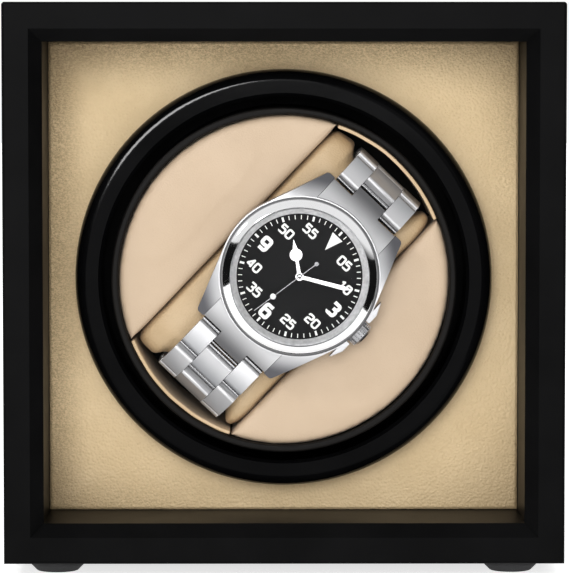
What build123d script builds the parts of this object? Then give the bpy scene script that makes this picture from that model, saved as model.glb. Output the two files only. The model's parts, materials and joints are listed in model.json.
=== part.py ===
from build123d import *
import math
import os

os.makedirs("parts", exist_ok=True)

# Single watch winder: a square case on four feet, open at the front, with a turning drum
# that holds a wristwatch on a cushion. Millimetres, +Z up, the front faces -Y, and the
# origin is on the ground under the middle of the case.

# ---- Case -------------------------------------------------------------------
case_width = 142.0
case_height = 142.0
case_depth = 150.0
wall = 10.0
front_chamfer = 3.3
case_round = 0.8
mitre_reach = 3.0

foot_height = 3.2
foot_radius = 7.0
foot_sole_radius = 5.2
foot_inset = 13.0
foot_sole_height = 1.8
foot_round = 0.7
foot_screw_recess = 1.2
foot_screw_bite = 7.0

# ---- Front panel and the ring round the drum --------------------------------
recess_depth = 30.0
leather_skin = 0.8
panel_thickness = 6.0
panel_fit = 0.1
ring_outer = 53.9
ring_height = 9.0
ring_shoulder_width = 3.0
ring_shoulder_height = 5.4
ring_inner = 47.0
ring_lip = 0.8
ring_collar = 49.0
ring_collar_length = 2.0
block_side = 8.0
block_length = 76.0

# ---- Drum -------------------------------------------------------------------
slot_angle = 46.2
drum_face = 15.0
drum_radius = 44.2
drum_wall = 1.8
drum_hollow = 41.0
drum_floor = 3.0
drum_round = 0.6
hub_radius = 10.0
hub_length = 8.0
slot_half = 17.5
liner = 1.2
liner_inset = 1.0
pad_inset = 0.8
pad_round = 1.0
soft_fit = 0.05

# ---- Bearing, plate and gears -----------------------------------------------
running_gap = 0.3
shaft_fit = 0.03
spindle_radius = 4.0
bush_wall = 1.0
bush_flange = 0.7
bush_flange_width = 1.5
bush_length = 5.0
plate_gap = 4.0
plate_corner = 6.0
plate_thickness = 2.5
bearing_radius = 9.0
bearing_length = 14.0
bearing_flange = 14.0
bearing_flange_thickness = 3.0
bearing_screw_circle = 11.4
standoff_inset = 5.0
standoff_radius = 4.0
standoff_foot = 7.0
standoff_foot_thickness = 2.0
gear_module = 0.6
pressure_angle = 20.0
gear_backlash = 0.1
drum_teeth = 72
wheel_teeth = 54
pinion_teeth = 18
gear_width = 4.0
gear_hub_radius = 7.0
gear_hub_length = 5.0
wheel_gap = 1.0
wheel_width = 3.0
pinion_overhang = 0.3
compound_angle = 215.0
motor_angle = 270.0
idler_radius = 2.0
idler_boss = 4.0
idler_rivet = 3.0
clip_radius = 4.0
clip_thickness = 0.6
drive_pin_radius = 1.0
drive_pin_setback = 2.2
hub_screw_radius = 2.0
hub_screw_head = 3.6
hub_screw_head_height = 1.8
hub_screw_length = 5.5
web_hole_radius = 3.4
web_hole_circle = 13.6
web_holes = 5

# ---- Gear motor -------------------------------------------------------------
motor_radius = 12.0
motor_length = 16.0
motor_boss = 4.5
motor_boss_length = 1.5
motor_shaft = 1.5
motor_bearing_depth = 6.0
motor_ear_spacing = 31.0
motor_ear_radius = 4.0
motor_ear_thickness = 1.0

# ---- Rear panel and what it carries -----------------------------------------
rear_recess = 8.0
rear_thickness = 4.0
corner_block = 12.0
corner_block_length = 15.0
jack_x = 28.0
jack_z = -36.0
jack_radius = 4.0
jack_flange = 5.5
jack_flange_thickness = 1.5
jack_length = 13.5
jack_bore = 2.8
jack_bore_depth = 9.5
jack_pin_radius = 1.05
jack_pin_setback = 0.6
jack_pin_root = 3.0
jack_root_radius = 1.6
jack_chamfer = 0.3
mode_x = 28.0
mode_z = 22.0
mode_body = 14.0
mode_body_depth = 8.0
mode_bush_radius = 3.6
mode_bush_length = 1.2
mode_shaft_radius = 3.0
mode_shaft_length = 9.5
knob_radius = 8.0
knob_height = 5.6
knob_gap = 0.4
knob_pointer_length = 5.6
knob_pointer_width = 1.2
knob_pointer_depth = 0.4
knob_flutes = 18
power_x = 28.0
power_z = -8.0
power_width = 13.0
power_height = 19.0
power_flange = 1.0
power_flange_thickness = 1.5
power_depth = 14.0
rocker_radius = 6.2
rocker_width = 8.2
rocker_gap = 0.15
rocker_rise = 2.2
rocker_bottom = 2.0
rocker_tilt = 10.0
rocker_pivot_radius = 1.0
pocket_depth = 9.0
board_x = -20.0
board_z = 10.0
board_width = 54.0
board_height = 38.0
board_thickness = 1.6
board_standoff = 10.0
board_post_radius = 3.0
board_hole_inset = 4.0
plug_width = 6.0
plug_height = 5.0
plug_depth = 6.0
chip_width = 10.0
chip_height = 8.0
row_drop = 12.0
row_width = 12.0
row_height = 4.0
capacitor_rise = 11.0
capacitor_radius = 3.2
plug_inset = 5.0
mode_plug_rise = 7.0
motor_plug_inset = 7.0
motor_plug_drop = 2.0
lead_radius = 1.0
lead_bend = 0.45
lead_offset = 1.8
lead_near_share = 0.65
lead_far_share = 0.93

# ---- Screws -----------------------------------------------------------------
wood_screw_radius = 1.4
wood_screw_head = 3.0
wood_screw_length = 14.0
machine_screw_radius = 1.5
machine_screw_head = 2.75
machine_screw_head_height = 1.8
plate_screw_length = 10.0
socket_radius = 1.1
socket_depth = 1.0

# ---- Cushion ----------------------------------------------------------------
cushion_front = 16.5
cushion_back = 45.5
cushion_half_length = 34.8
cushion_gap = 0.3
cushion_corner = 7.0
cushion_round = 2.0

# ---- Watch ------------------------------------------------------------------
watch_along = 3.7
watch_across = 1.9
seat_gap = 0.3
case_back_radius = 15.6
case_back_height = 1.0
case_radius = 20.6
case_bottom = 0.6
case_top = 7.5
lug_reach = 24.3
lug_width = 26.4
lug_gap = 21.5
lug_tip_radius = 1.0
lug_start = 8.0
lug_tip_height = 3.8
bezel_radius = 20.3
bezel_inner = 17.75
bezel_height = 2.2
bezel_foot = 0.5
bezel_bulge = 0.68
crystal_fit = 0.05
crystal_bottom = 8.3
crystal_top = 10.4
crystal_chamfer = 0.35
dial_radius = 17.6
dial_window = 16.05
dial_thickness = 0.4
dial_top = 6.7
movement_radius = 15.0
movement_bottom = 2.4
rotor_radius = 14.2
rotor_thickness = 0.7
rotor_gap = 0.35
rotor_post = 1.0
crown_height = 4.1
crown_radius = 3.2
crown_start = 19.8
crown_length = 3.1
crown_dome = 0.62
crown_flutes = 20
crown_flute_radius = 0.22
crown_notch = 3.6
crown_bore_depth = 2.0
stem_radius = 0.45
stem_inner = 15.3
guard_reach = 21.1
guard_far = 6.3
guard_root = 9.5
guard_bottom = 1.6
guard_top = 6.9
hand_post = 0.3
post_rise = 0.08
hand_fit = 0.03
hour_level = 6.95
minute_level = 7.3
second_level = 7.65
hand_thickness = 0.15
# Each hand is an outline, and discs given as a place along the hand and a radius.
hour_outline = [(-0.5, 0), (0.5, 0), (0.35, 4.5), (0.75, 6.6), (0, 9.6), (-0.75, 6.6), (-0.35, 4.5)]
hour_discs = [(0, 1.05), (5.6, 1.6)]
minute_outline = [(-0.45, 0), (0.45, 0), (0.55, 11.6), (0, 13.9), (-0.55, 11.6)]
minute_discs = [(0, 0.9)]
second_outline = [(-0.12, -5.0), (0.12, -5.0), (0.1, 14.4), (-0.1, 14.4)]
second_discs = [(-5.4, 0.55), (0, 0.7), (8.4, 0.8)]
hour_angle = -53.0
minute_angle = 60.8
second_angle = 189.5

# ---- Bracelet ---------------------------------------------------------------
strap_gap = 0.5
link_thickness = 2.9
link_pitch = 4.3
outer_reach_back = 1.0
outer_reach_on = 2.2
centre_reach_back = 1.6
centre_reach_on = 0.8
bracelet_width = 20.6
centre_width = 8.9
side_gap = 0.1
link_round = 0.9
pin_radius = 0.5
pin_fit = 0.05
first_pin = 26.3
end_link_reach = 24.0
spring_bar_radius = 0.6
spring_bar_place = 22.4
spring_bar_height = 2.2
clasp_length = 36.0
clasp_side = 1.0
blade_thickness = 0.9

# ---- Places worked out from the sizes ---------------------------------------
axis_z = foot_height + case_height / 2
front_y = -case_depth / 2
inner_width = case_width - 2 * wall
inner_height = case_height - 2 * wall
plate_width = inner_width - 2 * plate_gap
plate_height = inner_height - 2 * plate_gap
panel_front = recess_depth + leather_skin
panel_back = panel_front + panel_thickness
ring_front = recess_depth - ring_height
drum_inner = drum_radius - drum_wall
floor_front = drum_face + drum_hollow
floor_back = floor_front + drum_floor
hub_back = floor_back + hub_length
plate_front = hub_back + running_gap + bush_flange
plate_back = plate_front + plate_thickness
bearing_back = plate_back + bearing_length
gear_front = bearing_back + bush_flange + running_gap
gear_back = gear_front + gear_width
wheel_front = gear_back + wheel_gap
wheel_back = wheel_front + wheel_width
rear_back = case_depth - rear_recess
rear_front = rear_back - rear_thickness
board_back = rear_front - board_standoff
board_front = board_back - board_thickness
cushion_half_width = slot_half - cushion_gap
drum_pitch_radius = gear_module * drum_teeth / 2
wheel_pitch_radius = gear_module * wheel_teeth / 2
pinion_pitch_radius = gear_module * pinion_teeth / 2
compound_distance = drum_pitch_radius + pinion_pitch_radius
motor_distance = wheel_pitch_radius + pinion_pitch_radius
compound_x = compound_distance * math.cos(math.radians(compound_angle))
compound_z = compound_distance * math.sin(math.radians(compound_angle))
motor_x = compound_x + motor_distance * math.cos(math.radians(motor_angle))
motor_z = compound_z + motor_distance * math.sin(math.radians(motor_angle))
motor_back = plate_back + motor_length
slot_cos = math.cos(math.radians(slot_angle))
slot_sin = math.sin(math.radians(slot_angle))


def case_plane(depth, x=0, z=0):
    # Faces the viewer, this far behind the front edge of the case; x and z are from the drum.
    return Plane(origin=(x, front_y + depth, axis_z + z), x_dir=(1, 0, 0), z_dir=(0, -1, 0))


def rear_plane(depth, x=0, z=0):
    # Faces backwards at the same places.
    return Plane(origin=(x, front_y + depth, axis_z + z), x_dir=(-1, 0, 0), z_dir=(0, 1, 0))


def drum_plane(depth):
    # Faces the viewer, turned with the slot: y runs along it, x across it.
    return Plane(
        origin=(0, front_y + depth, axis_z),
        x_dir=(slot_sin, 0, -slot_cos),
        z_dir=(0, -1, 0),
    )


def watch_plane(height):
    # Faces the viewer at a height above the watch's back, y towards 12 and x towards 3.
    level = drum_plane(cushion_front - seat_gap - height)
    centre = level.from_local_coords((watch_across, watch_along, 0))
    return Plane(origin=centre, x_dir=level.x_dir, z_dir=level.z_dir)


def turned_plane(plane, angle):
    # The same plane, turned about its own normal.
    along = math.cos(math.radians(angle))
    across = math.sin(math.radians(angle))
    return Plane(
        origin=plane.origin,
        x_dir=plane.x_dir * along + plane.y_dir * across,
        z_dir=plane.z_dir,
    )


def hand_plane(height, clock_angle):
    # The watch's plane, turned so that y points along a hand.
    return turned_plane(watch_plane(height), -clock_angle)


def loop_plane(offset):
    # Cuts the cushion along the slot: x runs along the slot, y towards the viewer.
    front = drum_plane(0)
    centre = front.from_local_coords((offset, 0, 0))
    return Plane(origin=centre, x_dir=front.y_dir, z_dir=front.x_dir)


across = drum_plane(0).x_dir
drum_section = Plane(origin=(0, front_y, axis_z), x_dir=(1, 0, 0), z_dir=(0, 0, 1))
drum_axis = Axis((0, front_y, axis_z), (0, 1, 0))
watch_base = watch_plane(0)
watch_section = Plane(origin=watch_base.origin, x_dir=watch_base.x_dir, z_dir=-watch_base.y_dir)
watch_axis = Axis(watch_base.origin, watch_base.z_dir)



def save(piece, name):
    piece.part.label = name
    export_step(piece.part, f"parts/{name}.step")


def turned(profile):
    # A solid of revolution about Z from points (radius, height).
    with BuildPart() as body:
        with BuildSketch(Plane.XZ):
            with BuildLine():
                Polyline(*profile, close=True)
            make_face()
        revolve(axis=Axis.Z)
    return body.part


# ---- Screws, drawn upright with the seat of the head on the ground plane ------
def socketed(blank, top):
    with BuildPart() as body:
        add(blank)
        with BuildSketch(Plane.XY.offset(top)):
            RegularPolygon(socket_radius, 6)
        extrude(amount=-socket_depth, mode=Mode.SUBTRACT)
    return body.part


def countersunk_blank(head, shank, length):
    tip = shank / 2
    return turned(
        [
            (0, 0),
            (head, 0),
            (shank, shank - head),
            (shank, tip - length),
            (shank - tip, -length),
            (0, -length),
        ]
    )


def pan_blank(head, height, shank, length):
    tip = shank / 2
    return turned(
        [
            (0, height),
            (head - height / 3, height),
            (head, height * 2 / 3),
            (head, 0),
            (shank, 0),
            (shank, tip - length),
            (shank - tip, -length),
            (0, -length),
        ]
    )


# ---- Feet, each with a screw up into the bottom board -------------------------
foot_grid = (case_width - 2 * foot_inset, case_depth - 2 * foot_inset, 2, 2)
foot_screw_length = foot_height - foot_screw_recess + foot_screw_bite
foot_screw_blank = countersunk_blank(wood_screw_head, wood_screw_radius, foot_screw_length)
foot_screw_seat = Plane(origin=(0, 0, foot_screw_recess), z_dir=(0, 0, -1))
foot_blank = turned(
    [
        (0, 0),
        (foot_sole_radius, 0),
        (foot_radius, foot_sole_height),
        (foot_radius, foot_height),
        (0, foot_height),
    ]
)

with BuildPart() as one_foot:
    add(foot_blank)
    fillet(one_foot.edges().filter_by(GeomType.CIRCLE).sort_by(Axis.Z)[:2], foot_round)

with BuildPart() as rubber_feet:
    with GridLocations(*foot_grid):
        add(one_foot.part)
        Cylinder(
            wood_screw_head,
            foot_screw_recess,
            align=(Align.CENTER, Align.CENTER, Align.MIN),
            mode=Mode.SUBTRACT,
        )
    with Locations(foot_screw_seat):
        with GridLocations(*foot_grid):
            add(foot_screw_blank, mode=Mode.SUBTRACT)
save(rubber_feet, "rubber_feet")

with BuildPart() as foot_screws:
    with Locations(foot_screw_seat):
        with GridLocations(*foot_grid):
            add(socketed(foot_screw_blank, 0))
save(foot_screws, "foot_screws")


# ---- Case: four mitred boards -----------------------------------------------
def case_board(corners, name):
    with BuildPart() as board:
        with BuildSketch(case_plane(case_depth)):
            Rectangle(case_width, case_height)
            Rectangle(inner_width, inner_height, mode=Mode.SUBTRACT)
        extrude(amount=case_depth)
        front = board.faces().sort_by(Axis.Y)[0]
        outline = front.outer_wire().edges()
        mouth = front.inner_wires()[0].edges()
        long_edges = board.edges().filter_by(Axis.Y)
        outer_long = long_edges.filter_by_position(Axis.Z, foot_height, foot_height)
        outer_long += long_edges.filter_by_position(
            Axis.Z, foot_height + case_height, foot_height + case_height
        )
        chamfer(mouth, front_chamfer)
        fillet(outline + outer_long, case_round)
        with BuildSketch(case_plane(case_depth + mitre_reach)):
            with BuildLine():
                Polyline(*corners, close=True)
            make_face()
        extrude(amount=case_depth + 2 * mitre_reach, mode=Mode.INTERSECT)
        with Locations(foot_screw_seat):
            with GridLocations(*foot_grid):
                add(foot_screw_blank, mode=Mode.SUBTRACT)
    save(board, name)


# The mitre planes run at 45 degrees from the outer corners inwards.
far_x = case_width / 2 + mitre_reach
far_z = case_height / 2 + mitre_reach
near_x = inner_width / 2 - mitre_reach
near_z = inner_height / 2 - mitre_reach
case_board([(-far_x, far_z), (far_x, far_z), (near_x, near_z), (-near_x, near_z)], "shell_top")
case_board(
    [(-far_x, -far_z), (-near_x, -near_z), (near_x, -near_z), (far_x, -far_z)], "shell_bottom"
)
case_board([(-far_x, -far_z), (-far_x, far_z), (-near_x, near_z), (-near_x, -near_z)], "shell_left")
case_board([(far_x, -far_z), (near_x, -near_z), (near_x, near_z), (far_x, far_z)], "shell_right")

# ---- Front panel, its leather and the blocks glued into the case ----------------
panel_width = inner_width - 2 * panel_fit
panel_height = inner_height - 2 * panel_fit

with BuildPart() as front_panel_board:
    with BuildSketch(case_plane(panel_back)):
        Rectangle(panel_width, panel_height)
        Circle(ring_collar, mode=Mode.SUBTRACT)
    extrude(amount=panel_thickness)
save(front_panel_board, "front_panel_board")

with BuildPart() as front_panel_leather:
    with BuildSketch(case_plane(panel_front)):
        Rectangle(panel_width, panel_height)
        Circle(ring_collar, mode=Mode.SUBTRACT)
    extrude(amount=leather_skin)
save(front_panel_leather, "front_panel_leather")

block_x = (inner_width - block_side) / 2
block_z = (inner_height - block_side) / 2
corner_x = (inner_width - corner_block) / 2
corner_z = (inner_height - corner_block) / 2
rear_screw_blank = countersunk_blank(wood_screw_head, wood_screw_radius, wood_screw_length)
rear_screw_grid = (2 * corner_x, 2 * corner_z, 2, 2)

with BuildPart() as glue_blocks:
    with BuildSketch(case_plane(panel_back + block_side)):
        with Locations((0, block_z), (0, -block_z)):
            Rectangle(block_length, block_side)
        with Locations((block_x, 0), (-block_x, 0)):
            Rectangle(block_side, block_length)
    extrude(amount=block_side)
    with BuildSketch(case_plane(rear_front)):
        with GridLocations(*rear_screw_grid):
            Rectangle(corner_block, corner_block)
    extrude(amount=corner_block_length)
    with Locations(rear_plane(rear_back)):
        with GridLocations(*rear_screw_grid):
            add(rear_screw_blank, mode=Mode.SUBTRACT)
save(glue_blocks, "glue_blocks")

# The ring: a rounded outer shoulder, a flat land, and a collar through the panel.
with BuildPart() as bezel_ring:
    with BuildSketch(drum_section):
        with BuildLine():
            shoulder_x = ring_outer - ring_shoulder_width
            shoulder_y = ring_front + ring_shoulder_height
            EllipticalCenterArc(
                (shoulder_x, shoulder_y),
                ring_shoulder_width,
                ring_shoulder_height,
                start_angle=270,
                arc_size=90,
            )
            Polyline(
                (ring_outer, shoulder_y),
                (ring_outer, recess_depth),
                (ring_collar, recess_depth),
                (ring_collar, panel_back + ring_collar_length),
                (ring_inner, panel_back + ring_collar_length),
                (ring_inner, ring_front + ring_lip),
                (ring_inner + ring_lip, ring_front),
                (shoulder_x, ring_front),
            )
        make_face()
    revolve(axis=drum_axis)
save(bezel_ring, "bezel_ring")

# ---- Drum -------------------------------------------------------------------
screw_floor = floor_front + hub_screw_head_height
hub_screw_blank = pan_blank(
    hub_screw_head, hub_screw_head_height, hub_screw_radius, hub_screw_length
)
hub_screw_seat = case_plane(screw_floor)
spindle_front = floor_back + liner
spindle_back = gear_back + gear_hub_length
hub_pin_depth = hub_back - drive_pin_setback
hub_pin_plane = Plane(origin=(0, front_y + hub_pin_depth, axis_z), z_dir=(0, 0, 1))
gear_pin_depth = gear_back + gear_hub_length / 2
gear_pin_plane = Plane(origin=(0, front_y + gear_pin_depth, axis_z), z_dir=(0, 0, 1))

with BuildPart() as drum_cup:
    with BuildSketch(drum_section):
        with BuildLine():
            Polyline(
                (0, floor_front),
                (drum_inner, floor_front),
                (drum_inner, drum_face),
                (drum_radius, drum_face),
                (drum_radius, floor_back),
                (hub_radius, floor_back),
                (hub_radius, hub_back),
                (0, hub_back),
                close=True,
            )
        make_face()
    revolve(axis=drum_axis)
    rims = drum_cup.edges().filter_by(GeomType.CIRCLE).group_by(Axis.Y)[0]
    fillet(rims, drum_round)
    with BuildSketch(case_plane(screw_floor)):
        Circle(hub_screw_head)
    extrude(amount=hub_screw_head_height, mode=Mode.SUBTRACT)
    with BuildSketch(case_plane(spindle_front)):
        Circle(hub_screw_radius)
    extrude(amount=spindle_front - screw_floor, mode=Mode.SUBTRACT)
    with BuildSketch(case_plane(hub_back)):
        Circle(spindle_radius)
    extrude(amount=hub_back - spindle_front, mode=Mode.SUBTRACT)
    with BuildSketch(hub_pin_plane):
        Circle(drive_pin_radius)
    extrude(amount=hub_radius, both=True, mode=Mode.SUBTRACT)
save(drum_cup, "drum_cup")

with BuildPart() as drum_spindle:
    with BuildSketch(case_plane(spindle_back)):
        Circle(spindle_radius)
    extrude(amount=spindle_back - spindle_front)
    with Locations(hub_screw_seat):
        add(hub_screw_blank, mode=Mode.SUBTRACT)
    with BuildSketch(hub_pin_plane, gear_pin_plane):
        Circle(drive_pin_radius)
    extrude(amount=spindle_radius, both=True, mode=Mode.SUBTRACT)
    chamfer(drum_spindle.edges().filter_by(GeomType.CIRCLE).sort_by(Axis.Y)[-1], drum_round)
save(drum_spindle, "drum_spindle")

with BuildPart() as hub_screw:
    with Locations(hub_screw_seat):
        add(socketed(hub_screw_blank, hub_screw_head_height))
save(hub_screw, "hub_screw")

with BuildPart() as drive_pins:
    with BuildSketch(hub_pin_plane):
        Circle(drive_pin_radius)
    extrude(amount=hub_radius - drum_round, both=True)
    with BuildSketch(gear_pin_plane):
        Circle(drive_pin_radius)
    extrude(amount=gear_hub_radius - drum_round, both=True)
save(drive_pins, "drive_pins")

# Leather on the drum's floor and at both ends of the slot.
lining_radius = drum_inner - soft_fit
lining_back = floor_front - liner

with BuildPart() as slot_liners:
    with BuildSketch(drum_plane(floor_front)):
        Circle(lining_radius)
        Rectangle(2 * (slot_half - soft_fit), 2 * drum_radius, mode=Mode.INTERSECT)
    extrude(amount=liner)
    with BuildSketch(drum_plane(lining_back - soft_fit)):
        Circle(lining_radius)
        Circle(lining_radius - liner, mode=Mode.SUBTRACT)
        Rectangle(2 * (slot_half - soft_fit), 2 * drum_radius, mode=Mode.INTERSECT)
    extrude(amount=lining_back - soft_fit - drum_face - liner_inset)
save(slot_liners, "slot_liners")


# The two cushioned blocks that leave the slot between them.
def side_pad(side, name):
    pad_width = lining_radius - slot_half
    with BuildPart() as pad:
        with BuildSketch(drum_plane(floor_front)):
            Circle(lining_radius)
            with Locations((side * (slot_half + pad_width / 2), 0)):
                Rectangle(pad_width, 2 * drum_radius, mode=Mode.INTERSECT)
        extrude(amount=floor_front - drum_face - pad_inset)
        front = pad.faces().sort_by(Axis.Y)[0]
        fillet(front.edges(), pad_round)
    save(pad, name)


side_pad(-1, "side_pad_upper")
side_pad(1, "side_pad_lower")

# ---- Mounting plate, standoffs and bearing ------------------------------------
plate_screw_blank = pan_blank(
    machine_screw_head, machine_screw_head_height, machine_screw_radius, plate_screw_length
)
bearing_screw_blank = pan_blank(
    machine_screw_head,
    machine_screw_head_height,
    machine_screw_radius,
    bearing_flange_thickness + plate_thickness,
)
motor_screw_blank = pan_blank(
    machine_screw_head,
    machine_screw_head_height,
    machine_screw_radius,
    motor_ear_thickness + plate_thickness,
)
board_screw_blank = pan_blank(
    machine_screw_head,
    machine_screw_head_height,
    machine_screw_radius,
    board_thickness + board_standoff / 2,
)
standoff_grid = (plate_width - 2 * standoff_inset, plate_height - 2 * standoff_inset, 2, 2)
bush_radius = spindle_radius + shaft_fit + bush_wall
motor_seat = rear_plane(plate_back + motor_ear_thickness, motor_x, motor_z)
ear_grid = (motor_ear_spacing, 1, 2, 1)
board_grid = (board_width - 2 * board_hole_inset, board_height - 2 * board_hole_inset, 2, 2)

with BuildPart() as mounting_plate:
    with BuildSketch(case_plane(plate_back)):
        RectangleRounded(plate_width, plate_height, plate_corner)
        Circle(bush_radius, mode=Mode.SUBTRACT)
        with Locations((compound_x, compound_z)):
            Circle(idler_rivet, mode=Mode.SUBTRACT)
    extrude(amount=plate_thickness)
    with Locations(rear_plane(plate_back)):
        with GridLocations(*standoff_grid):
            add(plate_screw_blank, mode=Mode.SUBTRACT)
    with Locations(rear_plane(plate_back + bearing_flange_thickness)):
        with PolarLocations(bearing_screw_circle, 4, start_angle=45):
            add(bearing_screw_blank, mode=Mode.SUBTRACT)
    with Locations(motor_seat):
        with GridLocations(*ear_grid):
            add(motor_screw_blank, mode=Mode.SUBTRACT)
save(mounting_plate, "mounting_plate")

with BuildPart() as standoffs:
    with BuildSketch(case_plane(plate_front)):
        with GridLocations(*standoff_grid):
            Circle(standoff_radius)
    extrude(amount=plate_front - panel_back)
    with BuildSketch(case_plane(panel_back + standoff_foot_thickness)):
        with GridLocations(*standoff_grid):
            Circle(standoff_foot)
    extrude(amount=standoff_foot_thickness)
    with Locations(rear_plane(plate_back)):
        with GridLocations(*standoff_grid):
            add(plate_screw_blank, mode=Mode.SUBTRACT)
save(standoffs, "standoffs")

with BuildPart() as bearing_block:
    with BuildSketch(case_plane(bearing_back)):
        Circle(bearing_radius)
    extrude(amount=bearing_length)
    with BuildSketch(case_plane(plate_back + bearing_flange_thickness)):
        Circle(bearing_flange)
    extrude(amount=bearing_flange_thickness)
    with BuildSketch(case_plane(bearing_back)):
        Circle(bush_radius)
    extrude(amount=bearing_length, mode=Mode.SUBTRACT)
    with Locations(rear_plane(plate_back + bearing_flange_thickness)):
        with PolarLocations(bearing_screw_circle, 4, start_angle=45):
            add(bearing_screw_blank, mode=Mode.SUBTRACT)
save(bearing_block, "bearing_block")

# Two flanged bushes, one from each end of the bearing.
with BuildPart() as spindle_bushes:
    with BuildSketch(case_plane(plate_front + bush_length), case_plane(bearing_back)):
        Circle(bush_radius)
        Circle(spindle_radius + shaft_fit, mode=Mode.SUBTRACT)
    extrude(amount=bush_length)
    with BuildSketch(case_plane(plate_front), case_plane(bearing_back + bush_flange)):
        Circle(bush_radius + bush_flange_width)
        Circle(spindle_radius + shaft_fit, mode=Mode.SUBTRACT)
    extrude(amount=bush_flange)
save(spindle_bushes, "spindle_bushes")

# ---- Gears --------------------------------------------------------------------
def tooth_points(teeth, phase):
    # Involute teeth round a gear, one of them centred on the phase angle.
    pitch_radius = gear_module * teeth / 2
    base_radius = pitch_radius * math.cos(math.radians(pressure_angle))
    tip_radius = pitch_radius + gear_module
    root_radius = pitch_radius - 1.25 * gear_module
    start_radius = max(base_radius, root_radius)
    half_tooth = (math.pi * gear_module - gear_backlash) / 4 / pitch_radius
    flat = math.radians(pressure_angle)
    pitch_spread = math.tan(flat) - flat
    steps = [start_radius + (tip_radius - start_radius) * step / 3 for step in range(4)]
    flank = []
    for radius in steps:
        roll = math.acos(min(1, base_radius / radius))
        flank.append((radius, half_tooth + pitch_spread - (math.tan(roll) - roll)))
    if root_radius < start_radius:
        flank.insert(0, (root_radius, flank[0][1]))
    points = []
    for tooth in range(teeth):
        middle = math.radians(phase) + 2 * math.pi * tooth / teeth
        for radius, spread in flank:
            points.append((radius * math.cos(middle - spread), radius * math.sin(middle - spread)))
        for radius, spread in reversed(flank):
            points.append((radius * math.cos(middle + spread), radius * math.sin(middle + spread)))
    return points


# Teeth face teeth gaps at rest, so each phase follows from the line of centres.
drum_phase = compound_angle
pinion_phase = compound_angle + 180 + 180 / pinion_teeth
wheel_phase = motor_angle
motor_phase = motor_angle + 180 + 180 / pinion_teeth

with BuildPart() as drum_gear:
    with BuildSketch(case_plane(gear_back)):
        with BuildLine():
            Polyline(*tooth_points(drum_teeth, drum_phase), close=True)
        make_face()
        with PolarLocations(web_hole_circle, web_holes):
            Circle(web_hole_radius, mode=Mode.SUBTRACT)
    extrude(amount=gear_width)
    with BuildSketch(case_plane(gear_back + gear_hub_length)):
        Circle(gear_hub_radius)
    extrude(amount=gear_hub_length)
    with BuildSketch(case_plane(gear_back + gear_hub_length)):
        Circle(spindle_radius)
    extrude(amount=gear_hub_length + gear_width, mode=Mode.SUBTRACT)
    with BuildSketch(gear_pin_plane):
        Circle(drive_pin_radius)
    extrude(amount=gear_hub_radius, both=True, mode=Mode.SUBTRACT)
save(drum_gear, "drum_gear")

with BuildPart() as compound_gear:
    with BuildSketch(case_plane(wheel_front, compound_x, compound_z)):
        with BuildLine():
            Polyline(*tooth_points(pinion_teeth, pinion_phase), close=True)
        make_face()
    extrude(amount=wheel_front - gear_front)
    with BuildSketch(case_plane(wheel_back, compound_x, compound_z)):
        with BuildLine():
            Polyline(*tooth_points(wheel_teeth, wheel_phase), close=True)
        make_face()
    extrude(amount=wheel_width)
    with BuildSketch(case_plane(wheel_back, compound_x, compound_z)):
        Circle(idler_radius + shaft_fit)
    extrude(amount=wheel_back - gear_front, mode=Mode.SUBTRACT)
save(compound_gear, "compound_gear")

# The idler's axle is riveted into the plate and ends in a clip.
idler_clip_front = wheel_back + running_gap
with BuildPart() as idler_axle:
    with BuildSketch(case_plane(plate_back, compound_x, compound_z)):
        Circle(idler_rivet)
    extrude(amount=plate_thickness)
    with BuildSketch(case_plane(gear_front - running_gap, compound_x, compound_z)):
        Circle(idler_boss)
    extrude(amount=gear_front - running_gap - plate_back)
    with BuildSketch(case_plane(idler_clip_front + 2 * clip_thickness, compound_x, compound_z)):
        Circle(idler_radius)
    extrude(amount=idler_clip_front + 2 * clip_thickness - plate_back)
save(idler_axle, "idler_axle")

with BuildPart() as idler_clip:
    with BuildSketch(case_plane(idler_clip_front + clip_thickness, compound_x, compound_z)):
        Circle(clip_radius)
        Circle(idler_radius, mode=Mode.SUBTRACT)
        with Locations((clip_radius, 0)):
            Rectangle(2 * clip_radius, idler_radius, mode=Mode.SUBTRACT)
    extrude(amount=clip_thickness)
save(idler_clip, "idler_clip")

# ---- Gear motor and its pinion ------------------------------------------------
boss_back = motor_back + motor_boss_length
with BuildPart() as gear_motor:
    with BuildSketch(case_plane(motor_back, motor_x, motor_z)):
        Circle(motor_radius)
    extrude(amount=motor_length)
    with BuildSketch(case_plane(plate_back + motor_ear_thickness, motor_x, motor_z)):
        SlotCenterToCenter(motor_ear_spacing, 2 * motor_ear_radius)
    extrude(amount=motor_ear_thickness)
    with BuildSketch(case_plane(boss_back, motor_x, motor_z)):
        Circle(motor_boss)
    extrude(amount=motor_boss_length)
    with BuildSketch(case_plane(boss_back, motor_x, motor_z)):
        Circle(motor_shaft + shaft_fit)
    extrude(amount=motor_boss_length + motor_bearing_depth, mode=Mode.SUBTRACT)
    with Locations(motor_seat):
        with GridLocations(*ear_grid):
            add(motor_screw_blank, mode=Mode.SUBTRACT)
save(gear_motor, "gear_motor")

with BuildPart() as motor_pinion:
    pinion_back = wheel_back + pinion_overhang
    with BuildSketch(case_plane(pinion_back, motor_x, motor_z)):
        with BuildLine():
            Polyline(*tooth_points(pinion_teeth, motor_phase), close=True)
        make_face()
    extrude(amount=wheel_width + 2 * pinion_overhang)
    with BuildSketch(case_plane(pinion_back + motor_shaft, motor_x, motor_z)):
        Circle(motor_shaft)
    extrude(amount=pinion_back + motor_shaft - motor_back + motor_bearing_depth - running_gap)
save(motor_pinion, "motor_pinion")

# ---- Rear panel, corner blocks and the controls on it --------------------------
mode_hole = mode_bush_radius + panel_fit

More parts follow.
